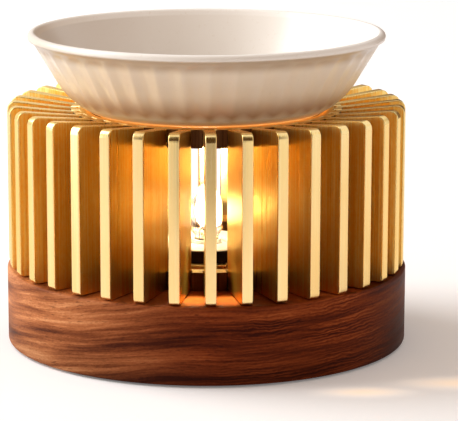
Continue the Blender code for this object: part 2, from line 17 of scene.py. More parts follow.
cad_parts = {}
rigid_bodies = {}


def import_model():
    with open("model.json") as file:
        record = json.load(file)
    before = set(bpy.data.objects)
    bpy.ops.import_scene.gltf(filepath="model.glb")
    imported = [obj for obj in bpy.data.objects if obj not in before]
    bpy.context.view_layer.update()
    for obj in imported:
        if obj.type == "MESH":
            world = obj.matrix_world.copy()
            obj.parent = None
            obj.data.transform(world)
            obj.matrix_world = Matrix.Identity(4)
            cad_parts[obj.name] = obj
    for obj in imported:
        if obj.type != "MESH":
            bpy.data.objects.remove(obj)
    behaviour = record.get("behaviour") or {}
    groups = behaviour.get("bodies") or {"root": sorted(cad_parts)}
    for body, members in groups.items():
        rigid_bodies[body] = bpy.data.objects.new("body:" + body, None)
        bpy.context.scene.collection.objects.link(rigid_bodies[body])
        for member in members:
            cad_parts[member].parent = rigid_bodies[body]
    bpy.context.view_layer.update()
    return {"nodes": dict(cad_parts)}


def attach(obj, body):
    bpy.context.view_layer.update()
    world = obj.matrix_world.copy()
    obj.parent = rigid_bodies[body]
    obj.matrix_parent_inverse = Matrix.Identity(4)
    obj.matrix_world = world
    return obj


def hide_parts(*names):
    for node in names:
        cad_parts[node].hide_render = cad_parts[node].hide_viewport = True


for left_over in list(bpy.data.objects):
    bpy.data.objects.remove(left_over, do_unlink=True)
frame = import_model()

# %% [markdown]
# ## Camera
#
# The picture we follow was taken from about 0.8 m away with a long lens, a little above the dish
# and looking down by about 12 degrees. The distance matters more than the lens: it decides how
# strongly the near fins look larger than the far ones. The lamp stands left of the middle of the
# picture, which a small sideways shift of the lens gives without turning the camera.

# %% Make the camera
PICTURE_WIDTH = 458
SENSOR_WIDTH = 36.0
FOCAL_PIXELS = 2541.0
CAMERA_DISTANCE = 0.8125
CAMERA_HEIGHT = 0.2104
CAMERA_TILT = math.radians(11.71)
CAMERA_TURN = math.radians(1.2)
AXIS_PIXEL = 206.5

camera_data = bpy.data.cameras.new("camera")
camera_data.sensor_width = SENSOR_WIDTH
camera_data.lens = SENSOR_WIDTH * FOCAL_PIXELS / PICTURE_WIDTH
camera_data.shift_x = (PICTURE_WIDTH / 2.0 - AXIS_PIXEL) / PICTURE_WIDTH
camera_data.clip_start = 0.05
camera_data.clip_end = 20.0
camera = bpy.data.objects.new("camera", camera_data)
bpy.context.scene.collection.objects.link(camera)
camera.location = (-CAMERA_DISTANCE * math.sin(CAMERA_TURN),
                   -CAMERA_DISTANCE * math.cos(CAMERA_TURN), CAMERA_HEIGHT)
camera.rotation_euler = (math.pi / 2.0 - CAMERA_TILT, 0.0, -CAMERA_TURN)
bpy.context.scene.camera = camera
bpy.context.scene.view_settings.view_transform = "Standard"
print("lens in mm:", round(camera_data.lens, 1), "shift:", round(camera_data.shift_x, 4))

# %% [markdown]
# ## Small helpers for shapes
#
# Most pieces of this lamp were turned on a lathe, so most of them start as a row of points that is
# spun round the Z axis. A hole is cut with a Boolean modifier that is applied at once, because a
# modifier can cut a clean round hole through a turned wall, which a bmesh operator can't. Ease
# makes a change slow at both ends, as a hand-shaped edge is. Place puts a piece on the body it
# rides on, gives it its material and hides the CAD nodes that it stands for.

# %% Shape helpers
MM = 0.001
FULL_TURN = 2.0 * math.pi


def lathe(profile, steps, closed=False):
    """Spin (radius, height) points about Z. A closed profile makes a ring."""
    bm = bmesh.new()
    verts = [bm.verts.new((r, 0.0, z)) for r, z in profile]
    edges = [bm.edges.new(pair) for pair in zip(verts, verts[1:])]
    if closed:
        edges.append(bm.edges.new((verts[-1], verts[0])))
    bmesh.ops.spin(bm, geom=verts + edges, cent=(0.0, 0.0, 0.0), axis=(0.0, 0.0, 1.0),
                   angle=FULL_TURN, steps=steps, use_merge=True, use_duplicate=False)
    bmesh.ops.remove_doubles(bm, verts=bm.verts, dist=0.002 * MM)
    bmesh.ops.recalc_face_normals(bm, faces=bm.faces)
    return bm


def bend(centre, radius, start, end, steps):
    """Points of an arc in (radius, height); angles in degrees, from outwards towards up."""
    points = []
    for i in range(steps + 1):
        angle = math.radians(start + (end - start) * i / steps)
        points.append((centre[0] + radius * math.cos(angle), centre[1] + radius * math.sin(angle)))
    return points


def at_angle(angle, radius, height=0.0):
    """Matrix that stands a piece at an angle in degrees from the front, anticlockwise."""
    return (Matrix.Rotation(math.radians(angle), 4, "Z")
            @ Matrix.Translation((0.0, -radius, height)))


def ease(part):
    """A share between 0 and 1, slow at both ends."""
    part = max(0.0, min(1.0, part))
    return part * part * (3.0 - 2.0 * part)


def rod(radius, low, high, steps, matrix):
    """A closed round rod."""
    bm = lathe([(0.0, low), (radius, low), (radius, high), (0.0, high)], steps)
    bm.transform(matrix)
    return bm


def join(bm, other):
    """Add one bmesh to another."""
    between = bpy.data.meshes.new("between")
    other.to_mesh(between)
    other.free()
    bm.from_mesh(between)
    bpy.data.meshes.remove(between)


def to_object(bm, name):
    """Turn a bmesh into an object at the origin."""
    mesh = bpy.data.meshes.new(name)
    bm.to_mesh(mesh)
    bm.free()
    obj = bpy.data.objects.new(name, mesh)
    bpy.context.scene.collection.objects.link(obj)
    return obj


def carve(obj, cutter):
    """Cut a closed bmesh out of an object and keep only the result."""
    tool = to_object(cutter, "cutting tool")
    mod = obj.modifiers.new("carve", "BOOLEAN")
    mod.operation = "DIFFERENCE"
    mod.solver = "EXACT"
    mod.object = tool
    bpy.context.view_layer.update()
    graph = bpy.context.evaluated_depsgraph_get()
    carved = bpy.data.meshes.new_from_object(obj.evaluated_get(graph))
    obj.modifiers.clear()
    uncut = obj.data
    obj.data = carved
    bpy.data.meshes.remove(uncut)
    bpy.data.objects.remove(tool, do_unlink=True)


def soften(obj, width, segments=2):
    """Round off the edges a little, and keep the flat faces flat."""
    mod = obj.modifiers.new("soft edges", "BEVEL")
    mod.width = width
    mod.segments = segments
    mod.limit_method = "ANGLE"
    mod.angle_limit = math.radians(30.0)
    mod.harden_normals = False


def shade(obj, angle):
    """Shade smooth but for real edges, and let the big faces decide the shading."""
    obj.data.shade_smooth()
    obj.data.set_sharp_from_angle(angle=math.radians(angle))
    mod = obj.modifiers.new("even shading", "WEIGHTED_NORMAL")
    mod.keep_sharp = True


def place(obj, body, finish, material, *nodes):
    """Put a piece on its body with its material, and hide its CAD nodes. The finish is not used."""
    obj.data.materials.clear()
    obj.data.materials.append(material)
    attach(obj, body)
    if nodes:
        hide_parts(*nodes)
    return obj


def tell(*pieces):
    """Print the size of finished pieces."""
    for piece in pieces:
        corners = [Vector(c) for c in piece.bound_box]
        low, high = Vector(map(min, *corners)), Vector(map(max, *corners))
        print(piece.name, "in mm:", [round(1000 * v, 1) for v in (*low, *high)])


# %% [markdown]
# ## Small helpers for materials
#
# Each finish is a tree of nodes that ends in a Principled shader. Written out in full, such trees
# are long, so these helpers add a node and its links in one line. All patterns start from Object
# coordinates. Every piece sits at the origin, so they are simply metres on the lamp, and a pattern
# has the same scale on every piece. Where a finish changes from place to place, a mask between 0
# and 1 says where, and fade makes one from a height or a distance.

# %% Material helpers
def start_material(name):
    """A new material and its Principled shader."""
    material = bpy.data.materials.new(name)
    material.use_nodes = True
    return material, material.node_tree.nodes["Principled BSDF"]


def add_node(material, kind, inputs=None, **settings):
    """Add a node, set its values, and link whatever is given as an output socket."""
    made = material.node_tree.nodes.new(kind)
    for name, value in settings.items():
        setattr(made, name, value)
    for key, value in (inputs or {}).items():
        if isinstance(value, bpy.types.NodeSocket):
            material.node_tree.links.new(value, made.inputs[key])
        else:
            made.inputs[key].default_value = value
    return made


def sums(material, operation, first, second=0.0, third=0.0):
    """One Math node."""
    made = add_node(material, "ShaderNodeMath", {0: first, 1: second, 2: third},
                    operation=operation)
    return made.outputs["Value"]


def times(material, first, second):
    """Two values multiplied."""
    return sums(material, "MULTIPLY", first, second)


def own_coordinates(material, scale=(1.0, 1.0, 1.0)):
    """Object coordinates, stretched for a pattern."""
    source = add_node(material, "ShaderNodeTexCoord")
    mapping = add_node(material, "ShaderNodeMapping",
                       {"Vector": source.outputs["Object"], "Scale": scale})
    return mapping.outputs["Vector"]


def own_xyz(material):
    """Object coordinates as three numbers."""
    source = add_node(material, "ShaderNodeTexCoord")
    split = add_node(material, "ShaderNodeSeparateXYZ", {"Vector": source.outputs["Object"]})
    return split.outputs["X"], split.outputs["Y"], split.outputs["Z"]


def noise(material, vector, detail, roughness=0.5):
    """Noise on a vector that already has its scale."""
    made = add_node(material, "ShaderNodeTexNoise",
                    {"Vector": vector, "Scale": 1.0, "Detail": detail, "Roughness": roughness})
    return made.outputs["Fac"]


def own_noise(material, scale, detail, roughness=0.5):
    """Noise on Object coordinates, with a scale along each axis."""
    return noise(material, own_coordinates(material, scale), detail, roughness)


def ramp(material, factor, stops):
    """Colour ramp from (place, colour) pairs."""
    made = add_node(material, "ShaderNodeValToRGB", {"Fac": factor})
    points = made.color_ramp.elements
    while len(points) < len(stops):
        points.new(0.5)
    for point, (where, colour) in zip(points, stops):
        point.position = where
        point.color = (*colour, 1.0)
    return made.outputs["Color"]


def spread(material, value, low, high, from_low=0.0, from_high=1.0, shape="LINEAR"):
    """Map a value into another range."""
    made = add_node(material, "ShaderNodeMapRange",
                    {"Value": value, "From Min": from_low, "From Max": from_high,
                     "To Min": low, "To Max": high}, interpolation_type=shape)
    return made.outputs["Result"]


def fade(material, value, start, end, low=0.0, high=1.0):
    """A smooth change from low, at the start of a range, to high at its end."""
    return spread(material, value, low, high, start, end, "SMOOTHSTEP")


def blend(material, factor, first, second):
    """Mix two colours."""
    made = add_node(material, "ShaderNodeMix", data_type="RGBA")
    for socket, value in ((made.inputs["Factor"], factor), (made.inputs[6], first),
                          (made.inputs[7], second)):
        if isinstance(value, bpy.types.NodeSocket):
            material.node_tree.links.new(value, socket)
        else:
            socket.default_value = value
    return made.outputs[2]


def link(material, output, shader, name):
    """Let a pattern drive one socket of the shader."""
    material.node_tree.links.new(output, shader.inputs[name])


def bumps(material, shader, height, strength, distance):
    """Let a height pattern tilt the surface a little."""
    made = add_node(material, "ShaderNodeBump",
                    {"Height": height, "Strength": strength, "Distance": distance})
    link(material, made.outputs["Normal"], shader, "Normal")


# %% [markdown]
# ## The grain of the wood
#
# The base is a reddish hardwood. On its left side broad dark bands rise to the right, in the
# middle they lie nearly level, and on the right they turn into fine wavy lines. That is what a
# lathe shows when the grain runs through the block in a curve. So the height that the bands follow
# is bent first, by a curve that is steep on the left and flat on the right. A noise that is
# stretched along this bent grain gives the bands, and a sine wave gives the fine lines.

# %% Bend the grain
GRAIN_RISE = 0.00300
GRAIN_BEND = -26.0
GRAIN_WANDER = 0.012
LINE_PITCH = 0.00098
LINE_WAVINESS = 0.0036
LINES_BEGIN = (-0.006, 0.026)
LINES_CEASE = (0.046, 0.060)


def bent_grain(material):
    """Object coordinates whose height follows the grain, and that height alone."""
    x, y, z = own_xyz(material)
    lift = sums(material, "EXPONENT", times(material, x, GRAIN_BEND))
    wander = own_noise(material, (11.0, 11.0, 20.0), 2.0)
    height = sums(material, "MULTIPLY_ADD", lift, GRAIN_RISE, z)
    height = sums(material, "MULTIPLY_ADD", wander, GRAIN_WANDER, height)
    along = add_node(material, "ShaderNodeCombineXYZ", {"X": x, "Y": y, "Z": height})
    return along.outputs["Vector"], height


def grain(material, along, scale, detail, roughness):
    """Noise that is stretched along the grain."""
    stretched = add_node(material, "ShaderNodeMapping", {"Vector": along, "Scale": scale})
    return noise(material, stretched.outputs["Vector"], detail, roughness)


def fine_lines(material, height):
    """Wavy lines in patches, right of the middle, that end before the right edge."""
    x = own_xyz(material)[0]
    waviness = own_noise(material, (95.0, 95.0, 240.0), 3.0, 0.6)
    wavy = sums(material, "MULTIPLY_ADD", waviness, LINE_WAVINESS, height)
    wave = sums(material, "SINE", times(material, wavy, FULL_TURN / LINE_PITCH))
    patches = spread(material, own_noise(material, (55.0, 55.0, 170.0), 2.0), 0.15, 1.0, 0.36, 0.62)
    begin = fade(material, x, *LINES_BEGIN, 0.15, 1.0)
    cease = fade(material, x, *LINES_CEASE, 1.0, 0.20)
    lines = times(material, times(material, wave, patches), begin)
    return times(material, lines, cease)


print("lines to a centimetre:", round(0.01 / LINE_PITCH, 1))

# %% [markdown]
# ## Stained wood
#
# Bands, streaks, lines and a very fine fuzz add up to one tone, and a ramp turns the tone into
# stain, from nearly black to a warm brown red. A few masks then paint light and shade into the
# stain: the left side is painted paler, as painted light and sheen, and the far right and the foot
# are painted darker, as painted shade. Short dark pores lie over it all and are pressed in a
# little.
# The stain is nearly matt, so it hardly mirrors the room.

# %% Make the wood
BAND_GRAIN = ((7.0, 11.0, 105.0), 3.0, 0.55)
STREAK_GRAIN = ((30.0, 34.0, 800.0), 4.0, 0.65)
FUZZ_GRAIN = ((900.0, 900.0, 2400.0), 2.0, 0.6)
PORE_GRAIN = ((380.0, 380.0, 3200.0), 1.0, 0.4)
STAIN = [(0.14, (0.040, 0.0052, 0.0012)), (0.38, (0.118, 0.0190, 0.0036)),
         (0.62, (0.240, 0.0470, 0.0100)), (0.92, (0.430, 0.1150, 0.0300))]
# Painted light on the left side, and painted shade at the far right and along the foot.
PAINTED_LIGHT_GAIN = (1.95, 3.5, 6.0, 1.0)
PAINTED_LIGHT_SIDE = (0.004, -0.054)
PAINTED_SHADE_SIDE = (0.042, 0.062)
PAINTED_SHADE_FOOT = (0.001, 0.015)
PORE_COLOUR = (0.030, 0.0060, 0.0025, 1.0)


def make_wood():
    material, shader = start_material("stained_wood")
    x, _, z = own_xyz(material)
    along, height = bent_grain(material)
    bands = spread(material, grain(material, along, *BAND_GRAIN), 0.0, 1.0, 0.34, 0.66)
    streaks = spread(material, grain(material, along, *STREAK_GRAIN), 0.0, 1.0, 0.30, 0.70)
    fuzz = spread(material, grain(material, along, *FUZZ_GRAIN), -0.5, 0.5)
    tone = sums(material, "MULTIPLY_ADD", bands, 0.60, times(material, streaks, 0.40))
    tone = sums(material, "MULTIPLY_ADD", fine_lines(material, height), 0.17, tone)
    tone = sums(material, "MULTIPLY_ADD", fuzz, 0.24, tone)
    colour = ramp(material, tone, STAIN)

    # Painted light: the left side is made paler, standing in for the key light and its sheen.
    lit_left = add_node(material, "ShaderNodeMix", {"Factor": 1.0, 6: colour, 7: PAINTED_LIGHT_GAIN},
                     data_type="RGBA", blend_type="MULTIPLY")
    colour = blend(material, fade(material, x, *PAINTED_LIGHT_SIDE), colour, lit_left.outputs[2])
    # Painted shade: darker towards the far right and along the foot.
    painted_shade = times(material, fade(material, x, *PAINTED_SHADE_SIDE, 1.0, 0.40),
                   fade(material, z, *PAINTED_SHADE_FOOT, 0.68, 1.0))
    lit_and_shaded = add_node(material, "ShaderNodeVectorMath", {0: colour, "Scale": painted_shade},
                      operation="SCALE")

    pores = grain(material, along, *PORE_GRAIN)
    in_pore = spread(material, pores, 0.55, 0.0, 0.26, 0.36)
    colour = blend(material, in_pore, lit_and_shaded.outputs["Vector"], PORE_COLOUR)
    link(material, colour, shader, "Base Color")
    link(material, spread(material, streaks, 0.42, 0.56), shader, "Roughness")
    shader.inputs["Specular IOR Level"].default_value = 0.05
    bumps(material, shader, pores, 0.30, 0.00010)
    return material


wood = make_wood()
print("wood nodes:", len(wood.node_tree.nodes))

# %% [markdown]
# ## Gold
#
# The fins and rings are metal with a gold finish. Brushing leaves fine lines. They are a noise
# squeezed hard across the brushing and stretched along it, and a cloudy noise under them makes the
# gold deeper in places. Fins and rings start from this same gold. How far a point lies from the
# lamp's axis tells the places on them apart.

# %% Start the gold
GOLD_BRIGHT = (0.99, 0.75, 0.37)
GOLD_DEEP = (0.92, 0.61, 0.22)
EDGE_ON_TINT = (0.98, 0.85, 0.56, 1.0)


def distance_from_axis(material):
    flat = own_coordinates(material, (1.0, 1.0, 0.0))
    length = add_node(material, "ShaderNodeVectorMath", {0: flat}, operation="LENGTH")
    return length.outputs["Value"]


def beyond(material, outer, inner, blur):
    """Mask of what lies outside an outer radius or inside an inner one."""
    radius = distance_from_axis(material)
    return sums(material, "MAXIMUM", spread(material, radius, 0.0, 1.0, outer, outer + blur),
                spread(material, radius, 1.0, 0.0, inner - blur, inner))


def make_gold(name, brushed_along):
    """A gold material, its shader, its brushed lines and its colour."""
    material, shader = start_material(name)
    lines = own_noise(material, brushed_along, 3.0, 0.65)
    cloud = own_noise(material, (60.0, 60.0, 30.0), 2.0)
    both = sums(material, "MULTIPLY_ADD", lines, 0.45, times(material, cloud, 0.55))
    colour = ramp(material, both, [(0.30, GOLD_DEEP), (0.66, GOLD_BRIGHT)])
    shader.inputs["Metallic"].default_value = 1.0
    shader.inputs["Specular Tint"].default_value = EDGE_ON_TINT
    return material, shader, lines, colour


print("gold from", GOLD_DEEP, "to", GOLD_BRIGHT)

# %% [markdown]
# ## Brushed fins
#
# On the flat sides of a fin the same lines drive the colour, the roughness and a bump, because a
# real scratch changes all three, and a fine grit breaks them up. The narrow edges were cut after
# brushing, so they keep the plain gold, are smoother and mirror more. An edge is found by its
# distance from the axis, and the sloping top by the way that it faces.

# %% Make the gold of the fins
FIN_LINES = (1500.0, 1500.0, 14.0)
FIN_GRIT = (1500.0, 1500.0, 650.0)
BRUSHED_BRIGHT = (1.0, 0.77, 0.31)
BRUSHED_DEEP = (0.975, 0.565, 0.115)
CUT_EDGE_FROM = 0.0639
CUT_EDGE_BELOW = 0.0422
CUT_EDGE_BLUR = 0.0003


def cut_edges(material):
    """Mask of a fin's outer edge, inner edge and top."""
    edges = beyond(material, CUT_EDGE_FROM, CUT_EDGE_BELOW, CUT_EDGE_BLUR)
    facing = add_node(material, "ShaderNodeNewGeometry").outputs["True Normal"]
    facing = add_node(material, "ShaderNodeSeparateXYZ", {"Vector": facing})
    on_top = spread(material, facing.outputs["Z"], 0.0, 1.0, 0.3, 0.7)
    return sums(material, "MAXIMUM", edges, on_top)


def make_fin_gold():
    material, shader, lines, colour = make_gold("fin_gold", FIN_LINES)
    grit = own_noise(material, FIN_GRIT, 2.0, 0.6)
    side_tone = sums(material, "MULTIPLY_ADD", lines, 0.75, times(material, grit, 0.25))
    side = ramp(material, side_tone, [(0.40, BRUSHED_DEEP), (0.60, BRUSHED_BRIGHT)])
    cut = cut_edges(material)
    link(material, blend(material, cut, side, colour), shader, "Base Color")
    brushed = spread(material, lines, 0.27, 0.37, 0.3, 0.7)
    polished = spread(material, lines, 0.17, 0.22, 0.3, 0.7)
    mixed = add_node(material, "ShaderNodeMix", {"Factor": cut, "A": brushed, "B": polished})
    link(material, mixed.outputs["Result"], shader, "Roughness")
    depth = sums(material, "MULTIPLY_ADD", cut, -0.80, 1.0)
    height = times(material, sums(material, "MULTIPLY_ADD", grit, 0.35, lines), depth)
    bumps(material, shader, height, 1.0, 0.00008)
    return material


fin_gold = make_fin_gold()
print("fin gold nodes:", len(fin_gold.node_tree.nodes))

# %% [markdown]
# ## Dark rings
#
# The rings were turned, and their outside, which stands in the gaps between the fins, was left
# dark. So was the inner wall. Only the flat face on top is bright: plain gold on the upper ring,
# and on the lower ring a duller gold that is painted darker, as painted shade for the shade of
# the fins.

# %% Make the gold of the rings
RING_LINES = (420.0, 420.0, 10.0)
BRONZE_DARK = (0.045, 0.013, 0.003)
BRONZE_PALE = (0.17, 0.078, 0.034)
LOW_FACE_DARK = (0.150, 0.078, 0.030)
LOW_FACE_PALE = (0.250, 0.140, 0.060)
BRONZE_FROM = 0.0438
BRONZE_BELOW = 0.0376
BRONZE_BLUR = 0.0002
BETWEEN_RINGS = (0.050, 0.051)


def make_ring_gold():
    material, shader, lines, colour = make_gold("ring_gold", RING_LINES)
    bumps(material, shader, lines, 0.16, 0.00004)
    walls = beyond(material, BRONZE_FROM, BRONZE_BELOW, BRONZE_BLUR)
    bronze = ramp(material, lines, [(0.40, BRONZE_DARK), (0.72, BRONZE_PALE)])
    # Painted shade: the lower ring's top face is darker for the shade of the fins.
    low_face = ramp(material, lines, [(0.35, LOW_FACE_DARK), (0.70, LOW_FACE_PALE)])
    upper = spread(material, own_xyz(material)[2], 0.0, 1.0, *BETWEEN_RINGS)
    face = blend(material, upper, low_face, colour)
    link(material, blend(material, walls, face, bronze), shader, "Base Color")
    dull = spread(material, upper, 0.22, 0.0)
    rough = sums(material, "ADD", spread(material, lines, 0.30, 0.42, 0.3, 0.7), dull)
    link(material, rough, shader, "Roughness")
    return material


ring_gold = make_ring_gold()
print("ring gold nodes:", len(ring_gold.node_tree.nodes))

# %% [markdown]
# ## Wooden base
#
# The base is one turned block: a recess for the bottom plate, a pocket for the wires, a bore for
# the bulb holder, pockets for four feet, three screw holes and the hole for the supply lead. The
# turned shape comes from one closed profile, and the holes are cut with plain rods. Its
# edges are rounded as a sanded edge is, which gives the thin light line along the top.

# %% Model the base
BASE_RADIUS = 65.0 * MM
BASE_BOTTOM = 0.6 * MM
BASE_TOP = 25.2 * MM
BASE_EDGE = 0.9 * MM
ROOF_UNDERSIDE = 16.6 * MM
POCKET_RADIUS = 34.0 * MM
COVER_RADIUS = 46.0 * MM
COVER_TOP = 2.6 * MM
BORE_EDGE = 0.3 * MM
GAP = 0.3 * MM
HOLDER_RADIUS = 16.2 * MM
FOOT_RADIUS = 5.0 * MM
FOOT_TOP = 2.0 * MM
FOOT_CIRCLE = 55.65 * MM
FOOT_ANGLES = [45.0, 135.0, 225.0, 315.0]
SCREW_ANGLES = [5.0, 125.0, 245.0]
SCREW_CIRCLE = 39.25 * MM
SCREW_HOLE_RADIUS = 1.55 * MM
INLET_HEIGHT = 9.75 * MM
INLET_RADIUS = 4.5 * MM
INLET_REACH = (32.0 * MM, 64.0 * MM)
INLET_MOUTH_RADIUS = 5.9 * MM
INLET_MOUTH_REACH = (62.7 * MM, 66.0 * MM)


def model_base():
    rebate = COVER_RADIUS + GAP
    bore = HOLDER_RADIUS + GAP
    edge = BASE_EDGE
    profile = [(bore, BASE_TOP - BORE_EDGE), (bore + BORE_EDGE, BASE_TOP)]
    profile += bend((BASE_RADIUS - edge, BASE_TOP - edge), edge, 90.0, 0.0, 6)
    profile += bend((BASE_RADIUS - edge, BASE_BOTTOM + edge), edge, 0.0, -90.0, 6)
    profile += [(rebate, BASE_BOTTOM), (rebate, COVER_TOP + GAP), (POCKET_RADIUS, COVER_TOP + GAP),
                (POCKET_RADIUS, ROOF_UNDERSIDE), (bore, ROOF_UNDERSIDE)]
    turned = to_object(lathe(profile, 240, closed=True), "turned_base")
    holes = bmesh.new()
    for angle in FOOT_ANGLES:
        join(holes, rod(FOOT_RADIUS + GAP, -MM, FOOT_TOP + GAP, 40, at_angle(angle, FOOT_CIRCLE)))
    for angle in SCREW_ANGLES:
        join(holes, rod(SCREW_HOLE_RADIUS, 0.0, BASE_TOP + MM, 24,
                        at_angle(angle, SCREW_CIRCLE)))
    carve(turned, holes)
    back = Matrix.Translation((0.0, 0.0, INLET_HEIGHT)) @ Matrix.Rotation(-math.pi / 2.0, 4, "X")
    carve(turned, rod(INLET_RADIUS, *INLET_REACH, 40, back))
    carve(turned, rod(INLET_MOUTH_RADIUS, *INLET_MOUTH_REACH, 40, back))
    shade(turned, 35.0)
    return turned


turned_base = place(model_base(), "lamp", "stained_wood", wood, "wood_base")
tell(turned_base)

# %% [markdown]
# ## Fins
#
# Each fin is a flat plate. Its top edge slopes down towards the middle, so that the fins together
# form a shallow funnel under the dish, and its outer corners are rounded. It is drawn as four
# corners, rounded with a vertex bevel, pulled to its thickness and softened along all edges. The
# soft edges matter: they catch the thin bright lines that make metal look like metal.

# %% Model the fins
FIN_COUNT = 36
FIN_THICKNESS = 3.4 * MM
FIN_INNER = 41.6 * MM
FIN_OUTER = 64.4 * MM
FIN_BOTTOM = 25.5 * MM
FIN_INNER_TOP = 76.0 * MM
FIN_TOP_SLOPE = math.radians(6.9)
FIN_TOP_CORNER = 3.0 * MM
FIN_FOOT_CORNER = 1.6 * MM
FIN_INNER_CORNER = 0.9 * MM
FIN_SOFT_EDGE = 0.3 * MM


def model_fin():
    outer_top = FIN_INNER_TOP + (FIN_OUTER - FIN_INNER) * math.tan(FIN_TOP_SLOPE)
    bm = bmesh.new()
    corners = [(FIN_INNER, FIN_BOTTOM), (FIN_OUTER, FIN_BOTTOM), (FIN_OUTER, outer_top),
               (FIN_INNER, FIN_INNER_TOP)]
    verts = [bm.verts.new((-FIN_THICKNESS / 2.0, -r, z)) for r, z in corners]
    bm.faces.new(verts)
    for vert, radius, segments in [(verts[1], FIN_FOOT_CORNER, 6), (verts[2], FIN_TOP_CORNER, 10),
                                   (verts[3], FIN_INNER_CORNER, 3)]:
        bmesh.ops.bevel(bm, geom=[vert], offset=radius, segments=segments, profile=0.5,
                        affect="VERTICES", material=-1)
    pulled = bmesh.ops.extrude_face_region(bm, geom=list(bm.faces))
    far = [item for item in pulled["geom"] if isinstance(item, bmesh.types.BMVert)]
    bmesh.ops.translate(bm, verts=far, vec=(FIN_THICKNESS, 0.0, 0.0))
    bmesh.ops.recalc_face_normals(bm, faces=bm.faces)
    rim = [edge for edge in bm.edges if abs(edge.verts[0].co.x - edge.verts[1].co.x) < 0.1 * MM]
    bmesh.ops.bevel(bm, geom=rim, offset=FIN_SOFT_EDGE, segments=2, profile=0.5, affect="EDGES",
                    material=-1)
    return bm


fin_pattern = to_object(model_fin(), "fin pattern")
for i in range(FIN_COUNT):
    fin_mesh = fin_pattern.data.copy()
    fin_mesh.transform(Matrix.Rotation(FULL_TURN * i / FIN_COUNT, 4, "Z"))
    fin = bpy.data.objects.new(f"gold_fin_{i + 1:02d}", fin_mesh)
    bpy.context.scene.collection.objects.link(fin)
    shade(fin, 50.0)
    place(fin, "lamp", "satin_gold", fin_gold, f"fin_{i + 1:02d}")
print("triangles in a fin:", sum(len(p.vertices) - 2 for p in fin_pattern.data.polygons))
bpy.data.objects.remove(fin_pattern, do_unlink=True)

# %% [markdown]
# ## Rings
#
# Two turned rings hold the fins, one at the bottom and one at the top. Each has a slot for every
# fin. The top ring also has a cone turned into its inner edge, in which the round underside
# of the dish sits. The slots are cut with a ring of blocks, and the edges are broken a little.

# %% Model the rings
RING_INNER = 37.2 * MM
RING_OUTER = 44.1 * MM
SLOT_FLOOR = 41.3 * MM
RING_HEIGHT = 5.8 * MM
UPPER_RING_TOP = 76.3 * MM
LOWER_RING_TOP = 31.3 * MM
SEAT_WIDTH = 2.0 * MM
SEAT_DEPTH = 0.96 * MM
RING_SOFT_EDGE = 0.15 * MM


def model_ring(name, top):
    bottom = top - RING_HEIGHT
    profile = [(RING_INNER, bottom), (RING_OUTER, bottom), (RING_OUTER, top),
               (RING_INNER + SEAT_WIDTH, top), (RING_INNER, top - SEAT_DEPTH)]
    ring = to_object(lathe(profile, 288, closed=True), name)
    slots = bmesh.new()
    length = RING_OUTER - SLOT_FLOOR + MM
    block = Matrix.Diagonal((FIN_THICKNESS + 2.0 * GAP, length, RING_HEIGHT + 2.0 * MM, 1.0))
    for i in range(FIN_COUNT):
        where = at_angle(360.0 * i / FIN_COUNT, SLOT_FLOOR + length / 2.0, top - RING_HEIGHT / 2.0)
        bmesh.ops.create_cube(slots, size=1.0, matrix=where @ block)
    carve(ring, slots)
    soften(ring, RING_SOFT_EDGE, 1)
    shade(ring, 35.0)
    return ring


lower_ring = place(model_ring("slotted_ring_low", LOWER_RING_TOP), "lamp", "satin_gold", ring_gold,
                   "lower_ring")
upper_ring = place(model_ring("slotted_ring_high", UPPER_RING_TOP), "lamp", "satin_gold", ring_gold,
                   "upper_ring")
tell(lower_ring, upper_ring)

# %% [markdown]
# ## Where the glaze changes
#
# The dish has one cream glaze, but light and shade are painted on it in places. Towards the
# foot it is painted deep brown, as painted shade for the shade of the ring. Inside it is a cooler
# white with painted shade on the left. Just under the lip a band of painted shade runs round the
# outside, and the lip itself is painted pale, as painted light, with painted shade on its left.
# Each of these places is a mask from a height, a distance across, or the distance to the slanted
# wall, with the inside on one side of it and the outside on the other.

# %% Find the places on the dish
DISH_BOTTOM = 73.836 * MM
DISH_LEAN = 31.0
WALL_FOOT = 41.3575 * MM
INSIDE_WALL = (-0.0022, -0.0012)
# Where painted shade and painted light go on the glaze.
LINING_SHADE_ACROSS = (-0.050, 0.0)
LIP_SHADE_ACROSS = (-0.057, -0.028)
FOOT_SHADE_FADE = (0.0752, 0.0880)
UNDER_LIP_SHADE_FADE = (0.0940, 0.0975)
LIP_FADE = (0.0990, 0.0997)
LEAK_RISE = (0.0759, 0.0762)
LEAK_FALL = (0.0764, 0.0770)
LEAK_OUTSIDE = (0.0355, 0.0365)


def inside_wall(material):
    """Mask of the dish's lining, by the distance in from the outside of the slanted wall."""
    slant = math.tan(math.radians(DISH_LEAN))
    wall = sums(material, "MULTIPLY_ADD", own_xyz(material)[2], -slant,
                distance_from_axis(material))
    outside = WALL_FOOT - DISH_BOTTOM * slant
    return spread(material, wall, 1.0, 0.0, *(outside + inwards for inwards in INSIDE_WALL))


def leak_line(material):
    """Mask of the thin line round the outside, just above the ring."""
    z = own_xyz(material)[2]
    line = times(material, fade(material, z, *LEAK_RISE),
                 fade(material, z, *LEAK_FALL, 1.0, 0.0))
    outside = spread(material, distance_from_axis(material), 0.0, 1.0, *LEAK_OUTSIDE)
    return times(material, line, outside)


print("leak line in mm:", [round(1000 * z, 1) for z in (*LEAK_RISE, *LEAK_FALL)])

# %% [markdown]
# ## Cream glaze
#
# A glaze is never quite even: it is a little yellower where it ran together, small specks show in
# it, and its surface waves faintly, so its reflections are not straight. A broad noise gives the
# colour, a fine one the specks and a third the waves. Light from the bulb leaks out between dish
# and ring as a thin golden line. Few samples would find so narrow a gap, so the glaze itself glows
# a little there.

# %% Make the glaze
GLAZE_DEEP = (0.855, 0.745, 0.610)
GLAZE_PALE = (0.890, 0.810, 0.700)
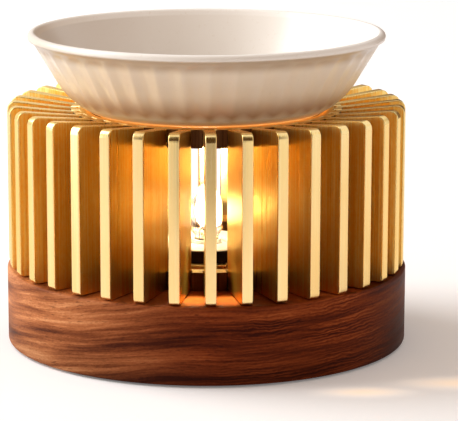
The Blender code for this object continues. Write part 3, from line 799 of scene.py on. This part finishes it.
# Painted shade at the foot, on the left of the lining, under the lip and on the lip's left; painted
# light on the lip.
FOOT_SHADE_COLOUR = (0.37, 0.150, 0.048, 1.0)
LINING_SHADE_LEFT = (0.715, 0.640, 0.560, 1.0)
LINING_RIGHT = (0.900, 0.860, 0.800, 1.0)
UNDER_LIP_SHADE = (0.57, 0.46, 0.35, 1.0)
LIP_SHADE_LEFT = (0.76, 0.66, 0.55, 1.0)
LIP_LIGHT_RIGHT = (0.95, 0.92, 0.87, 1.0)
SPECK_COLOUR = (0.70, 0.60, 0.47, 1.0)
LEAK_COLOUR = (1.0, 0.42, 0.10, 1.0)
LEAK_GLOW = 0.60


def glaze_colour(material, broad):
    x, _, z = own_xyz(material)
    colour = ramp(material, broad, [(0.30, GLAZE_DEEP), (0.70, GLAZE_PALE)])
    # Painted shade: deep brown towards the foot, under the ring.
    colour = blend(material, fade(material, z, *FOOT_SHADE_FADE, 1.0, 0.0), colour, FOOT_SHADE_COLOUR)
    inside = inside_wall(material)
    # Painted shade on the left of the lining.
    lining = blend(material, fade(material, x, *LINING_SHADE_ACROSS), LINING_SHADE_LEFT, LINING_RIGHT)
    colour = blend(material, inside, colour, lining)
    outside = sums(material, "SUBTRACT", 1.0, inside)
    # Painted shade in a band under the lip.
    band = times(material, fade(material, z, *UNDER_LIP_SHADE_FADE), outside)
    colour = blend(material, band, colour, UNDER_LIP_SHADE)
    # Painted light on the lip, with painted shade on its left.
    lip = blend(material, fade(material, x, *LIP_SHADE_ACROSS), LIP_SHADE_LEFT, LIP_LIGHT_RIGHT)
    colour = blend(material, fade(material, z, *LIP_FADE), colour, lip)
    specks = own_noise(material, (900.0, 900.0, 900.0), 1.0)
    return blend(material, spread(material, specks, 0.0, 0.14, 0.66, 0.74), colour, SPECK_COLOUR)


def make_glaze():
    material, shader = start_material("cream_glaze")
    broad = own_noise(material, (30.0, 30.0, 45.0), 4.0, 0.6)
    link(material, glaze_colour(material, broad), shader, "Base Color")
    link(material, spread(material, broad, 0.26, 0.36), shader, "Roughness")
    shader.inputs["Coat Weight"].default_value = 0.3
    shader.inputs["Coat Roughness"].default_value = 0.14
    shader.inputs["Emission Color"].default_value = LEAK_COLOUR
    glow = times(material, leak_line(material), LEAK_GLOW)
    link(material, glow, shader, "Emission Strength")
    bumps(material, shader, own_noise(material, (150.0, 150.0, 150.0), 2.0), 0.12, 0.00018)
    return material


glaze = make_glaze()
print("glaze nodes:", len(glaze.node_tree.nodes))

# %% [markdown]
# ## Glazed dish
#
# The dish was thrown in one go: a flat foot, a round belly, a straight flared wall with soft
# flutes and a slim rolled lip. It is spun from one profile with twelve steps to a flute, and then
# the outer points move inwards by a gentle wave. Moving points keeps the wall closed and the
# flutes even. The wave fades out towards the foot and the lip, as it does where a thumb or a rib
# leaves the clay.

# %% Model the dish
DISH_HEIGHT = 27.4 * MM
DISH_RADIUS = 57.6 * MM
DISH_WALL = 3.0 * MM
DISH_FLOOR = 28.0 * MM
FOOT_HOLLOW = 0.6 * MM
FOOT_RING_INNER = 24.6 * MM
FOOT_RING_OUTER = 25.2 * MM
BELLY_RADIUS = 23.609 * MM
LIP_RADIUS = 1.5 * MM
LIP_TUCK = 1.15 * MM
BAND_HEIGHT = 1.8 * MM
FLUTE_COUNT = 40
STEPS_IN_A_FLUTE = 12
FLUTE_DEPTH = 0.75 * MM
FLUTE_SHARPNESS = 0.65
FLUTE_START = 2.4 * MM
FLUTE_FADE_LOW = 8.0 * MM
FLUTE_FADE_HIGH = 2.4 * MM


def outside_at(height):
    """Radius of the dish's outside at a height, without its flutes."""
    lean = math.radians(DISH_LEAN)
    above = height - DISH_BOTTOM
    if above < BELLY_RADIUS * (1.0 - math.sin(lean)):
        drop = BELLY_RADIUS - above
        return DISH_FLOOR + math.sqrt(max(0.0, BELLY_RADIUS ** 2 - drop ** 2))
    return WALL_FOOT + above * math.tan(lean)


def spin_dish():
    """The dish without flutes: foot, belly, wall, lip, and back down the inside."""
    lean = math.radians(DISH_LEAN)
    belly = (DISH_FLOOR, DISH_BOTTOM + BELLY_RADIUS)
    lip = (DISH_RADIUS - LIP_RADIUS, DISH_BOTTOM + DISH_HEIGHT - LIP_RADIUS)
    foot = [(0.0, DISH_BOTTOM + FOOT_HOLLOW), (FOOT_RING_INNER, DISH_BOTTOM + FOOT_HOLLOW),
            (FOOT_RING_OUTER, DISH_BOTTOM)]
    outer = bend(belly, BELLY_RADIUS, -90.0, -DISH_LEAN, 18)
    wall_low = outer[-1][1]
    wall_high = lip[1] - LIP_TUCK
    for step in range(1, 17):
        height = wall_low + (wall_high - wall_low) * step / 16.0
        outer.append((WALL_FOOT + (height - DISH_BOTTOM) * math.tan(lean), height))
    rim = bend(lip, LIP_RADIUS, -25.0, 180.0 - DISH_LEAN, 12)
    inner = bend(belly, BELLY_RADIUS - DISH_WALL, -DISH_LEAN, -90.0, 18)
    floor_rows = [(r * MM, DISH_BOTTOM + DISH_WALL) for r in (21.0, 14.0, 7.0, 0.0)]
    return lathe(foot + outer + rim + inner + floor_rows, FLUTE_COUNT * STEPS_IN_A_FLUTE)


def press_flutes(bm):
    """Move the points of the outside inwards by a wave that fades towards foot and lip."""
    lean = math.radians(DISH_LEAN)
    low = DISH_BOTTOM + FLUTE_START
    high = DISH_BOTTOM + DISH_HEIGHT - LIP_RADIUS - BAND_HEIGHT
    for vert in bm.verts:
        radius = math.hypot(vert.co.x, vert.co.y)
        if radius < DISH_FLOOR - 0.01 * MM or abs(radius - outside_at(vert.co.z)) > 0.02 * MM:
            continue
        share = min((vert.co.z - low) / FLUTE_FADE_LOW, (high - vert.co.z) / FLUTE_FADE_HIGH)
        angle = math.atan2(vert.co.x, -vert.co.y)
        hollow = 0.5 - 0.5 * math.cos(FLUTE_COUNT * angle)
        depth = FLUTE_DEPTH * ease(share) * hollow ** FLUTE_SHARPNESS
        slope = math.asin(max(0.0, min(1.0, (radius - DISH_FLOOR) / BELLY_RADIUS)))
        slope = min(slope, math.pi / 2.0 - lean)
        outward = Vector((math.sin(angle), -math.cos(angle), 0.0))
        vert.co -= (outward * math.sin(slope) - Vector((0.0, 0.0, math.cos(slope)))) * depth


dish_mesh = spin_dish()
press_flutes(dish_mesh)
dish = to_object(dish_mesh, "fluted_dish")
dish.data.shade_smooth()
place(dish, "dish", "cream_glaze", glaze, "dish")
tell(dish)

# %% [markdown]
# ## Plain finishes
#
# The bulb, its holder and the hardware below have finishes that look plain, but none is one flat
# colour: a moulding is mottled, plated metal is smeared, rubber is dull in patches. One helper
# gives them all a soft noise in colour, roughness and, where asked, height. Only the two colours,
# the two ends of the roughness, the fineness of the noise, the metal and the bump differ.

# %% Make the plain finishes
def make_plain(name, dark, light, rough, fineness, metallic=0.0, bump=0.0):
    """A finish with a soft mottle in its colour and its roughness."""
    material, shader = start_material(name)
    mottle = own_noise(material, (fineness, fineness, fineness), 4.0, 0.6)
    link(material, ramp(material, mottle, [(0.3, dark), (0.7, light)]), shader, "Base Color")
    link(material, spread(material, mottle, *rough, 0.3, 0.7), shader, "Roughness")
    shader.inputs["Metallic"].default_value = metallic
    if bump:
        bumps(material, shader, mottle, 0.3, bump)
    return material


nickel = make_plain("nickel", (0.60, 0.56, 0.50), (0.78, 0.75, 0.69), (0.26, 0.40), 260.0, 0.6)
brass = make_plain("brass", (0.62, 0.42, 0.16), (0.84, 0.62, 0.28), (0.24, 0.42), 260.0, 1.0)
steel = make_plain("zinc_steel", (0.48, 0.48, 0.50), (0.68, 0.68, 0.70), (0.26, 0.42), 400.0, 1.0)
moulding = make_plain("brown_moulding", (0.010, 0.0018, 0.0006), (0.020, 0.0036, 0.0012),
                      (0.44, 0.56), 160.0, bump=0.00005)
black_paint = make_plain("black_plate", (0.018, 0.018, 0.020), (0.040, 0.040, 0.043),
                         (0.42, 0.58), 900.0, bump=0.00006)
rubber = make_plain("grey_rubber", (0.040, 0.040, 0.043), (0.075, 0.075, 0.080),
                    (0.72, 0.88), 700.0, bump=0.00008)
black_glass = make_plain("cap_glass", (0.012, 0.012, 0.018), (0.030, 0.030, 0.042),
                         (0.06, 0.14), 500.0)
print("plain finishes made")

# %% [markdown]
# ## Painted light on the moulding
#
# The flat top of the holder stands just under the bulb and is very bright, and its outside is
# nearly black. So the brown moulding is painted pale there, as painted light: its top, and the
# upper end of the bore that the bulb stands in. The rest mirrors very little.

# %% Paint light on the moulding's top
FACE_FROM = (0.0317, 0.0319)
BORE_WITHIN = (0.0066, 0.0070)
BORE_FROM = (0.0260, 0.0280)
# Painted light: a pale colour for the holder's top and upper bore, under the bulb.
PAINTED_LIGHT_FACE = (0.74, 0.68, 0.56, 1.0)


def add_painted_light(material):
    shader = material.node_tree.nodes["Principled BSDF"]
    brown = shader.inputs["Base Color"].links[0].from_socket
    z = own_xyz(material)[2]
    bore = times(material, spread(material, distance_from_axis(material), 1.0, 0.0, *BORE_WITHIN),
                 spread(material, z, 0.0, 1.0, *BORE_FROM))
    # Painted light: the top and the upper end of the bore are painted pale.
    pale = sums(material, "MAXIMUM", spread(material, z, 0.0, 1.0, *FACE_FROM), bore)
    link(material, blend(material, pale, brown, PAINTED_LIGHT_FACE), shader, "Base Color")
    shader.inputs["Specular IOR Level"].default_value = 0.15


add_painted_light(moulding)
print("moulding nodes:", len(moulding.node_tree.nodes))

# %% [markdown]
# ## Clear glass and hot wire
#
# Clear glass is a Principled shader with full transmission. Real bulb glass isn't perfectly clean,
# so a faint noise tints it and roughens it. Its rim, where the eye looks along the wall, is painted
# brown, as painted shade. It bends light less than real glass does, because that came nearer to the
# look of this thin bulb. The hot wire and the glare round it give light: their colour is warm
# white, and it goes down to orange where the wire meets its legs. Both are so strong that the
# camera sees plain white.

# %% Make the glass and the glow
GLASS_TINT = [(0.3, (1.0, 0.96, 0.90)), (0.7, (1.0, 0.99, 0.96))]
GLASS_RIM_SHADE = (0.42, 0.24, 0.11, 1.0)
GLASS_BEND = 1.2
GLOW_TINT = [(0.05, (1.0, 0.66, 0.30)), (0.60, (1.0, 0.84, 0.56)), (1.0, (1.0, 0.90, 0.70))]


def make_clear_glass():
    material, shader = start_material("clear_glass")
    smear = own_noise(material, (120.0, 120.0, 60.0), 2.0)
    edge_on = add_node(material, "ShaderNodeLayerWeight", {"Blend": 0.35}).outputs["Facing"]
    # Painted shade: the rim of the glass is tinted brown where the eye looks along the wall.
    rim = fade(material, edge_on, 0.26, 0.58)
    link(material, blend(material, rim, ramp(material, smear, GLASS_TINT), GLASS_RIM_SHADE), shader,
         "Base Color")
    link(material, spread(material, smear, 0.02, 0.08), shader, "Roughness")
    shader.inputs["Transmission Weight"].default_value = 1.0
    shader.inputs["IOR"].default_value = GLASS_BEND
    return material


def make_glow(name, strength, orange_below, white_above):
    """Glowing matter: orange at its foot, warm white above."""
    material, shader = start_material(name)
    heat = fade(material, own_xyz(material)[2], orange_below, white_above, 0.0, 0.85)
    flicker = own_noise(material, (700.0, 700.0, 300.0), 2.0)
    tint = ramp(material, sums(material, "MULTIPLY_ADD", flicker, 0.15, heat), GLOW_TINT)
    link(material, tint, shader, "Base Color")
    link(material, tint, shader, "Emission Color")
    shader.inputs["Emission Strength"].default_value = strength
    shader.inputs["Roughness"].default_value = 0.5
    return material


clear_glass = make_clear_glass()
hot_wire = make_glow("hot_wire", 60.0, 0.0365, 0.0415)
glare = make_glow("glare", 15.0, 0.0330, 0.0370)
print("glass and glow made")

# %% [markdown]
# ## Bulb
#
# The bulb is slim, with a long round top and a small screw cap. Its glass is a real shell with an
# inner and an outer wall, so that light bends in it as it does in glass, and the two walls are
# bridged at the foot of the neck. The glass throws no shadow here, because the renderer would
# need thousands of samples to bring the light out through it. A lit bulb shows a white flame round
# its wire rather than the wire itself, so a flame-shaped core sits inside the glass. In the picture
# it stands a little to the right of the middle, and so it does here. The thread of the cap is a
# helix: the wall of the turned shell is pulled in by a wave that climbs as it goes round.

# %% Model the bulb
CAP_RADIUS = 4.75 * MM
CAP_WALL = 0.6 * MM
CAP_BOTTOM = 19.8 * MM
CAP_TOP = 32.8 * MM
CAP_LIP = 1.4 * MM
CAP_COLLAR = 2.2 * MM
THREAD_PITCH = 1.81 * MM
THREAD_DEPTH = 0.34 * MM
GLASS_RADIUS = 5.2 * MM
GLASS_WALL = 0.6 * MM
GLASS_BOTTOM = 24.8 * MM
GLASS_TOP = 50.9 * MM
GLASS_DOME = 8.0 * MM
NECK_RADIUS = 3.85 * MM
SHOULDER_START = 0.3 * MM
SHOULDER_HEIGHT = 3.2 * MM
FLAME = [(0.0, 36.6), (1.44, 36.9), (2.43, 37.7), (3.02, 38.9), (3.33, 40.2), (3.44, 41.6),
         (3.40, 43.0), (3.22, 44.6), (2.93, 46.1), (2.48, 47.5), (1.89, 48.7), (1.22, 49.6),
         (0.59, 50.0), (0.0, 50.12)]
FLAME_SHIFT = 0.95 * MM
FLAME_TIP_FROM = 45.0 * MM
FLAME_TIP_LENGTH = 5.0 * MM
FLAME_TIP_BACK = 0.7


def glass_outline(offset):
    """One wall of the bulb's glass, moved inwards by an offset."""
    neck, body = NECK_RADIUS - offset, GLASS_RADIUS - offset
    rise = GLASS_DOME - offset
    dome = GLASS_TOP - GLASS_DOME
    points = [(neck, GLASS_BOTTOM), (neck, CAP_TOP + SHOULDER_START)]
    for step in range(1, 9):
        part = step / 8.0
        points.append((neck + (body - neck) * ease(part),
                       CAP_TOP + SHOULDER_START + SHOULDER_HEIGHT * part))
    points += [(r * body, dome + z * rise) for r, z in bend((0.0, 0.0), 1.0, 0.0, 90.0, 16)]
    points[-1] = (0.0, dome + rise)
    return points


def model_glass():
    """Outer wall up, inner wall down, joined at the foot of the neck."""
    bm = lathe(glass_outline(0.0) + glass_outline(GLASS_WALL)[::-1], 72)
    foot = [edge for edge in bm.edges if edge.is_boundary]
    bmesh.ops.bridge_loops(bm, edges=foot)
    bmesh.ops.recalc_face_normals(bm, faces=bm.faces)
    return bm


def model_cap():
    """Screw cap: a shell whose wall waves along a helix, as a rolled thread does."""
    rows = 72
    low, high = CAP_BOTTOM + CAP_LIP, CAP_TOP
    inner_radius = CAP_RADIUS - CAP_WALL
    lip_inner = CAP_RADIUS - CAP_LIP - CAP_WALL
    outer = [(CAP_RADIUS - CAP_LIP, CAP_BOTTOM)]
    outer += [(CAP_RADIUS, low + (high - low) * i / rows) for i in range(rows + 1)]
    inner = [(inner_radius, high), (inner_radius, low + CAP_WALL / 2.0),
             (lip_inner, CAP_BOTTOM + CAP_WALL), (lip_inner, CAP_BOTTOM)]
    bm = lathe(outer + inner, 72, closed=True)
    for vert in bm.verts:
        radius = math.hypot(vert.co.x, vert.co.y)
        if abs(radius - CAP_RADIUS) > 0.01 * MM:
            continue
        angle = math.atan2(vert.co.y, vert.co.x)
        share = min(1.0, (vert.co.z - low) / MM, (high - CAP_COLLAR - vert.co.z) / MM)
        wave = 0.5 - 0.5 * math.cos(FULL_TURN * vert.co.z / THREAD_PITCH - angle)
        shrink = 1.0 - THREAD_DEPTH * wave * max(0.0, share) / CAP_RADIUS
        vert.co.x *= shrink
        vert.co.y *= shrink
    return bm


glass = to_object(model_glass(), "glass_bulb")
glass.data.shade_smooth()
glass.visible_shadow = False
place(glass, "bulb", "clear_glass", clear_glass, "bulb_glass")

flame_mesh = lathe([(r * MM, z * MM) for r, z in FLAME], 48)
for vert in flame_mesh.verts:
    tip = max(0.0, min(1.0, (vert.co.z - FLAME_TIP_FROM) / FLAME_TIP_LENGTH))
    vert.co.x += FLAME_SHIFT * (1.0 - FLAME_TIP_BACK * tip)
flame = to_object(flame_mesh, "bulb_glare")
flame.data.shade_smooth()
place(flame, "bulb", "filament", glare)

cap = to_object(model_cap(), "screw_cap")
shade(cap, 50.0)
place(cap, "bulb", "nickel", nickel, "bulb_cap")
tell(glass, flame, cap)

# %% [markdown]
# ## Bulb holder
#
# The holder is a round brown moulding that comes up through the wood and is held by two notched
# ring nuts, one above the wood and one below it. Its flat top stands just under the light, so it
# is one of the brightest surfaces of the lamp. Holder and nuts are turned, and the notches of the
# nuts are cut with blocks.

# %% Model the holder and its nuts
HOLDER_BOTTOM = 11.1 * MM
HOLDER_TOP = 32.1 * MM
HOLDER_BORE = 6.35 * MM
HOLDER_FLOOR = 14.7 * MM
HOLDER_EDGE = 0.8 * MM
HOLDER_MOUTH = 0.4 * MM
WIRE_HOLE_RADIUS = 1.6 * MM
NUT_HEIGHT = 2.5 * MM
NUT_OUTER = 19.5 * MM
NUT_SOFT_EDGE = 0.25 * MM
NOTCH_COUNT = 8
NOTCH_WIDTH = 3.0 * MM
NOTCH_LENGTH = 1.8 * MM
HIGH_NUT_BOTTOM = 25.5 * MM
LOW_NUT_BOTTOM = 13.8 * MM


def model_holder():
    edge = HOLDER_EDGE
    profile = [(WIRE_HOLE_RADIUS, HOLDER_BOTTOM)]
    profile += bend((HOLDER_RADIUS - edge, HOLDER_BOTTOM + edge), edge, -90.0, 0.0, 4)
    profile += bend((HOLDER_RADIUS - edge, HOLDER_TOP - edge), edge, 0.0, 90.0, 6)
    profile += [(HOLDER_BORE + HOLDER_MOUTH, HOLDER_TOP), (HOLDER_BORE, HOLDER_TOP - HOLDER_MOUTH),
                (HOLDER_BORE, HOLDER_FLOOR), (WIRE_HOLE_RADIUS, HOLDER_FLOOR)]
    holder = to_object(lathe(profile, 96, closed=True), "bulb_holder")
    shade(holder, 35.0)
    return holder


def model_nut(name, low):
    profile = [(HOLDER_RADIUS + GAP, low), (NUT_OUTER, low), (NUT_OUTER, low + NUT_HEIGHT),
               (HOLDER_RADIUS + GAP, low + NUT_HEIGHT)]
    nut = to_object(lathe(profile, 96, closed=True), name)
    notches = bmesh.new()
    block = Matrix.Diagonal((NOTCH_WIDTH, NOTCH_LENGTH, 2.0 * NUT_HEIGHT, 1.0))
    for i in range(NOTCH_COUNT):
        where = at_angle(360.0 * (i + 0.5) / NOTCH_COUNT, NUT_OUTER, low + NUT_HEIGHT / 2.0)
        bmesh.ops.create_cube(notches, size=1.0, matrix=where @ block)
    carve(nut, notches)
    soften(nut, NUT_SOFT_EDGE)
    shade(nut, 35.0)
    return nut


holder = place(model_holder(), "lamp", "brown_moulding", moulding, "holder_body")
high_nut = place(model_nut("ring_nut_high", HIGH_NUT_BOTTOM), "lamp", "brass", brass,
                 "holder_nut_top")
low_nut = place(model_nut("ring_nut_low", LOW_NUT_BOTTOM), "lamp", "brass", brass,
                "holder_nut_bottom")
tell(holder, high_nut, low_nut)

# %% [markdown]
# ## Finishes for the CAD pieces that stay
#
# The small hidden pieces have the right shape already. They keep their CAD mesh and get a finish.

# %% Give the remaining CAD nodes their finish
KEPT = {
    "cable_gland": rubber, "base_cover": black_paint, "foot_1": rubber, "foot_2": rubber,
    "foot_3": rubber, "foot_4": rubber, "clamp_screw_1": steel, "clamp_screw_2": steel,
    "clamp_screw_3": steel, "holder_sleeve": nickel, "holder_contact": brass,
    "bulb_contact": steel, "bulb_insulator": black_glass, "bulb_stem": clear_glass,
    "bulb_filament": hot_wire,
}
for node_name, finish in KEPT.items():
    node_object = frame["nodes"][node_name]
    node_object.data.materials.clear()
    node_object.data.materials.append(finish)
print("CAD nodes kept:", len(KEPT))

# %% [markdown]
# ## Floor
#
# The lamp stands on a plain white table. It is a pale matt sheet that also looks a little brighter
# to the camera and in reflections, by way of Light Path, so that it ends in white without more
# light falling on the lamp. It still keeps the lamp's shadow. Two peach gleams lie on it at the
# front right, where the gold fins throw light on the table. Few samples find such mirrored light,
# so the floor itself shows them, as two soft ovals.

# %% Make the floor
WHITE = (1.0, 1.0, 1.0, 1.0)
FLOOR_RADIUS = 0.62
FLOOR_MIDDLE = (0.0, 0.30, 0.0)
FLOOR_COLOUR = (0.925, 0.94, 0.96, 1.0)
FLOOR_GLOW = 0.14
GLEAM_COLOUR = (1.0, 0.64, 0.33, 1.0)
GLEAM_GLOW = 0.36
GLEAMS = [((0.0465, -0.0700), (0.0210, 0.0085)), ((0.0790, -0.0605), (0.0310, 0.0110))]


def gleam_mask(material):
    """Soft ovals, each from its middle and its half width and depth."""
    gleam = 0.0
    for (x, y), (half_width, half_depth) in GLEAMS:
        centred = add_node(material, "ShaderNodeMapping",
                           {"Vector": own_coordinates(material), "Location": (-x, -y, 0.0)})
        round_one = add_node(material, "ShaderNodeMapping",
                             {"Vector": centred.outputs["Vector"],
                              "Scale": (1.0 / half_width, 1.0 / half_depth, 0.0)})
        reach = add_node(material, "ShaderNodeVectorMath", {0: round_one.outputs["Vector"]},
                         operation="LENGTH")
        oval = fade(material, reach.outputs["Value"], 0.0, 1.0, 1.0, 0.0)
        gleam = sums(material, "MAXIMUM", oval, gleam)
    return gleam


def make_floor():
    bm = bmesh.new()
    bmesh.ops.create_circle(bm, cap_ends=True, segments=96, radius=FLOOR_RADIUS,
                            matrix=Matrix.Translation(FLOOR_MIDDLE))
    floor = to_object(bm, "floor")
    material, shader = start_material("floor_white")
    shader.inputs["Base Color"].default_value = FLOOR_COLOUR
    shader.inputs["Roughness"].default_value = 0.9
    shader.inputs["Specular IOR Level"].default_value = 0.1
    gleam = gleam_mask(material)
    link(material, blend(material, gleam, WHITE, GLEAM_COLOUR), shader, "Emission Color")
    path = add_node(material, "ShaderNodeLightPath")
    seen = sums(material, "MAXIMUM", path.outputs["Is Camera Ray"], path.outputs["Is Glossy Ray"])
    seen = sums(material, "MAXIMUM", seen, path.outputs["Is Transmission Ray"])
    strength = sums(material, "MULTIPLY_ADD", gleam, GLEAM_GLOW, FLOOR_GLOW)
    link(material, times(material, seen, strength), shader, "Emission Strength")
    floor.data.materials.append(material)
    return floor


floor = make_floor()
print("floor radius in m:", round(floor.dimensions.x / 2.0, 2))

# %% [markdown]
# ## World
#
# The world gives even, slightly warm light from everywhere, and the camera sees it as white. For
# mirror reflections it is white too, but with two dark places. One is the room in front: narrow
# near the floor and wider higher up. The other is a dim corner low down behind, on the right. Gold
# without anything dark to reflect looks like yellow paint, and these two give each fin a dark side
# and a bright one.

# %% Make the world
EVEN_LIGHT = (0.535, 0.425, 0.355, 1.0)
ROOM_COLOUR = (0.075, 0.043, 0.016, 1.0)
CORNER_COLOUR = (0.14, 0.08, 0.05, 1.0)
ROOM_NARROW = (-0.975, -0.925)
ROOM_WIDE = (-0.82, -0.60)
ROOM_WIDENS = (0.10, 0.34)
ROOM_BEGINS = (-0.30, -0.08)
ROOM_ENDS = (0.93, 0.985)
CORNER_RIGHT = (-0.02, 0.06)
CORNER_BEHIND = (0.50, 0.80)
CORNER_ENDS = (0.25, 0.45)


def look_direction(world):
    """X and Y of the direction once it is made level, and Z of the direction itself."""
    direction = add_node(world, "ShaderNodeTexCoord").outputs["Generated"]
    full = add_node(world, "ShaderNodeSeparateXYZ", {"Vector": direction})
    level = add_node(world, "ShaderNodeVectorMath", {0: direction, 1: (1.0, 1.0, 0.0)},
                     operation="MULTIPLY")
    level = add_node(world, "ShaderNodeVectorMath", {0: level.outputs["Vector"]},
                     operation="NORMALIZE")
    level = add_node(world, "ShaderNodeSeparateXYZ", {"Vector": level.outputs["Vector"]})
    return level.outputs["X"], level.outputs["Y"], full.outputs["Z"]


def dark_room(world, y, z):
    """Mask of the room in front, from below the horizon to nearly overhead."""
    narrow = fade(world, y, *ROOM_NARROW, 1.0, 0.0)
    wide = times(world, fade(world, y, *ROOM_WIDE, 1.0, 0.0), fade(world, z, *ROOM_WIDENS))
    band = times(world, fade(world, z, *ROOM_BEGINS), fade(world, z, *ROOM_ENDS, 1.0, 0.0))
    return times(world, sums(world, "MAXIMUM", narrow, wide), band)


def dark_corner(world, x, y, z):
    """Mask of the corner behind on the right."""
    behind = times(world, fade(world, x, *CORNER_RIGHT), fade(world, y, *CORNER_BEHIND))
    return times(world, fade(world, z, *CORNER_ENDS, 1.0, 0.0), behind)


def make_world():
    world = bpy.data.worlds.new("studio")
    bpy.context.scene.world = world
    world.use_nodes = True
    x, y, z = look_direction(world)
    mirrored = blend(world, dark_corner(world, x, y, z), WHITE, CORNER_COLOUR)
    mirrored = blend(world, dark_room(world, y, z), mirrored, ROOM_COLOUR)
    path = add_node(world, "ShaderNodeLightPath")
    colour = blend(world, path.outputs["Is Glossy Ray"], EVEN_LIGHT, mirrored)
    plain = sums(world, "MAXIMUM", path.outputs["Is Camera Ray"],
                 path.outputs["Is Transmission Ray"])
    background = world.node_tree.nodes["Background"]
    link(world, blend(world, plain, colour, WHITE), background, "Color")
    background.inputs["Strength"].default_value = 1.0
    return world


world = make_world()
print("world nodes:", len(world.node_tree.nodes))

# %% [markdown]
# ## Lamps
#
# One large soft lamp, the key, stands on the left, a little behind the object and well above it. It
# gives the light side of the wood, the bright inside of the dish and the shadow on the right. A
# weaker one low on the left opens the dark sides, and a very weak one on the right lifts the right
# edge. That one doesn't show in the gold. Four tiny lamps inside the cage help the bulb, whose own
# light would need many samples to find its way out between the fins: two narrow spots light the
# wood in front, and two points warm the sides of the fins.

# %% Make the lamps
LAMP_MIDDLE = (0.0, 0.0, 0.07)
SPOT_COLOUR = (0.96, 1.0, 0.42)
POINT_COLOUR = (1.0, 0.86, 0.58)


def make_lamp(kind, name, energy, colour, location, target=None, **settings):
    """A lamp that the camera doesn't see, turned to its target if it has one."""
    data = bpy.data.lights.new(name, kind)
    data.energy = energy
    data.color = colour
    for setting, value in settings.items():
        setattr(data, setting, value)
    lamp = bpy.data.objects.new(name, data)
    bpy.context.scene.collection.objects.link(lamp)
    lamp.location = location
    if target:
        aim = Vector(target) - Vector(location)
        lamp.rotation_euler = aim.to_track_quat("-Z", "Y").to_euler()
    lamp.visible_camera = False
    return lamp


key = make_lamp("AREA", "key", 108.0, (0.97, 0.99, 1.0), (-2.48, 0.80, 2.12), (0.0, 0.0, 0.05),
                shape="DISK", size=2.8)
make_lamp("AREA", "fill", 9.0, (1.0, 0.97, 0.90), (-1.85, -0.25, 0.35), LAMP_MIDDLE,
          shape="DISK", size=1.2)
bounce = make_lamp("AREA", "bounce", 2.4, (1.0, 0.95, 0.88), (1.8, -0.25, 0.30), LAMP_MIDDLE,
                   shape="DISK", size=1.0)
bounce.visible_glossy = False
for name, side in (("leak_left", -1.0), ("leak_right", 1.0)):
    make_lamp("SPOT", name, 0.62, SPOT_COLOUR, (side * 0.0036, -0.0400, 0.0680),
              (side * 0.0050, -0.0555, 0.0252), spot_size=math.radians(18.0), spot_blend=1.0,
              shadow_soft_size=0.001)
for name, energy, where in (("warm_left", 0.0150, (-0.0110, 0.0020, 0.0410)),
                            ("warm_back", 0.0260, (-0.0010, 0.0240, 0.0540))):
    make_lamp("POINT", name, energy, POINT_COLOUR, where, shadow_soft_size=0.004)
print("key light in W:", key.data.energy)
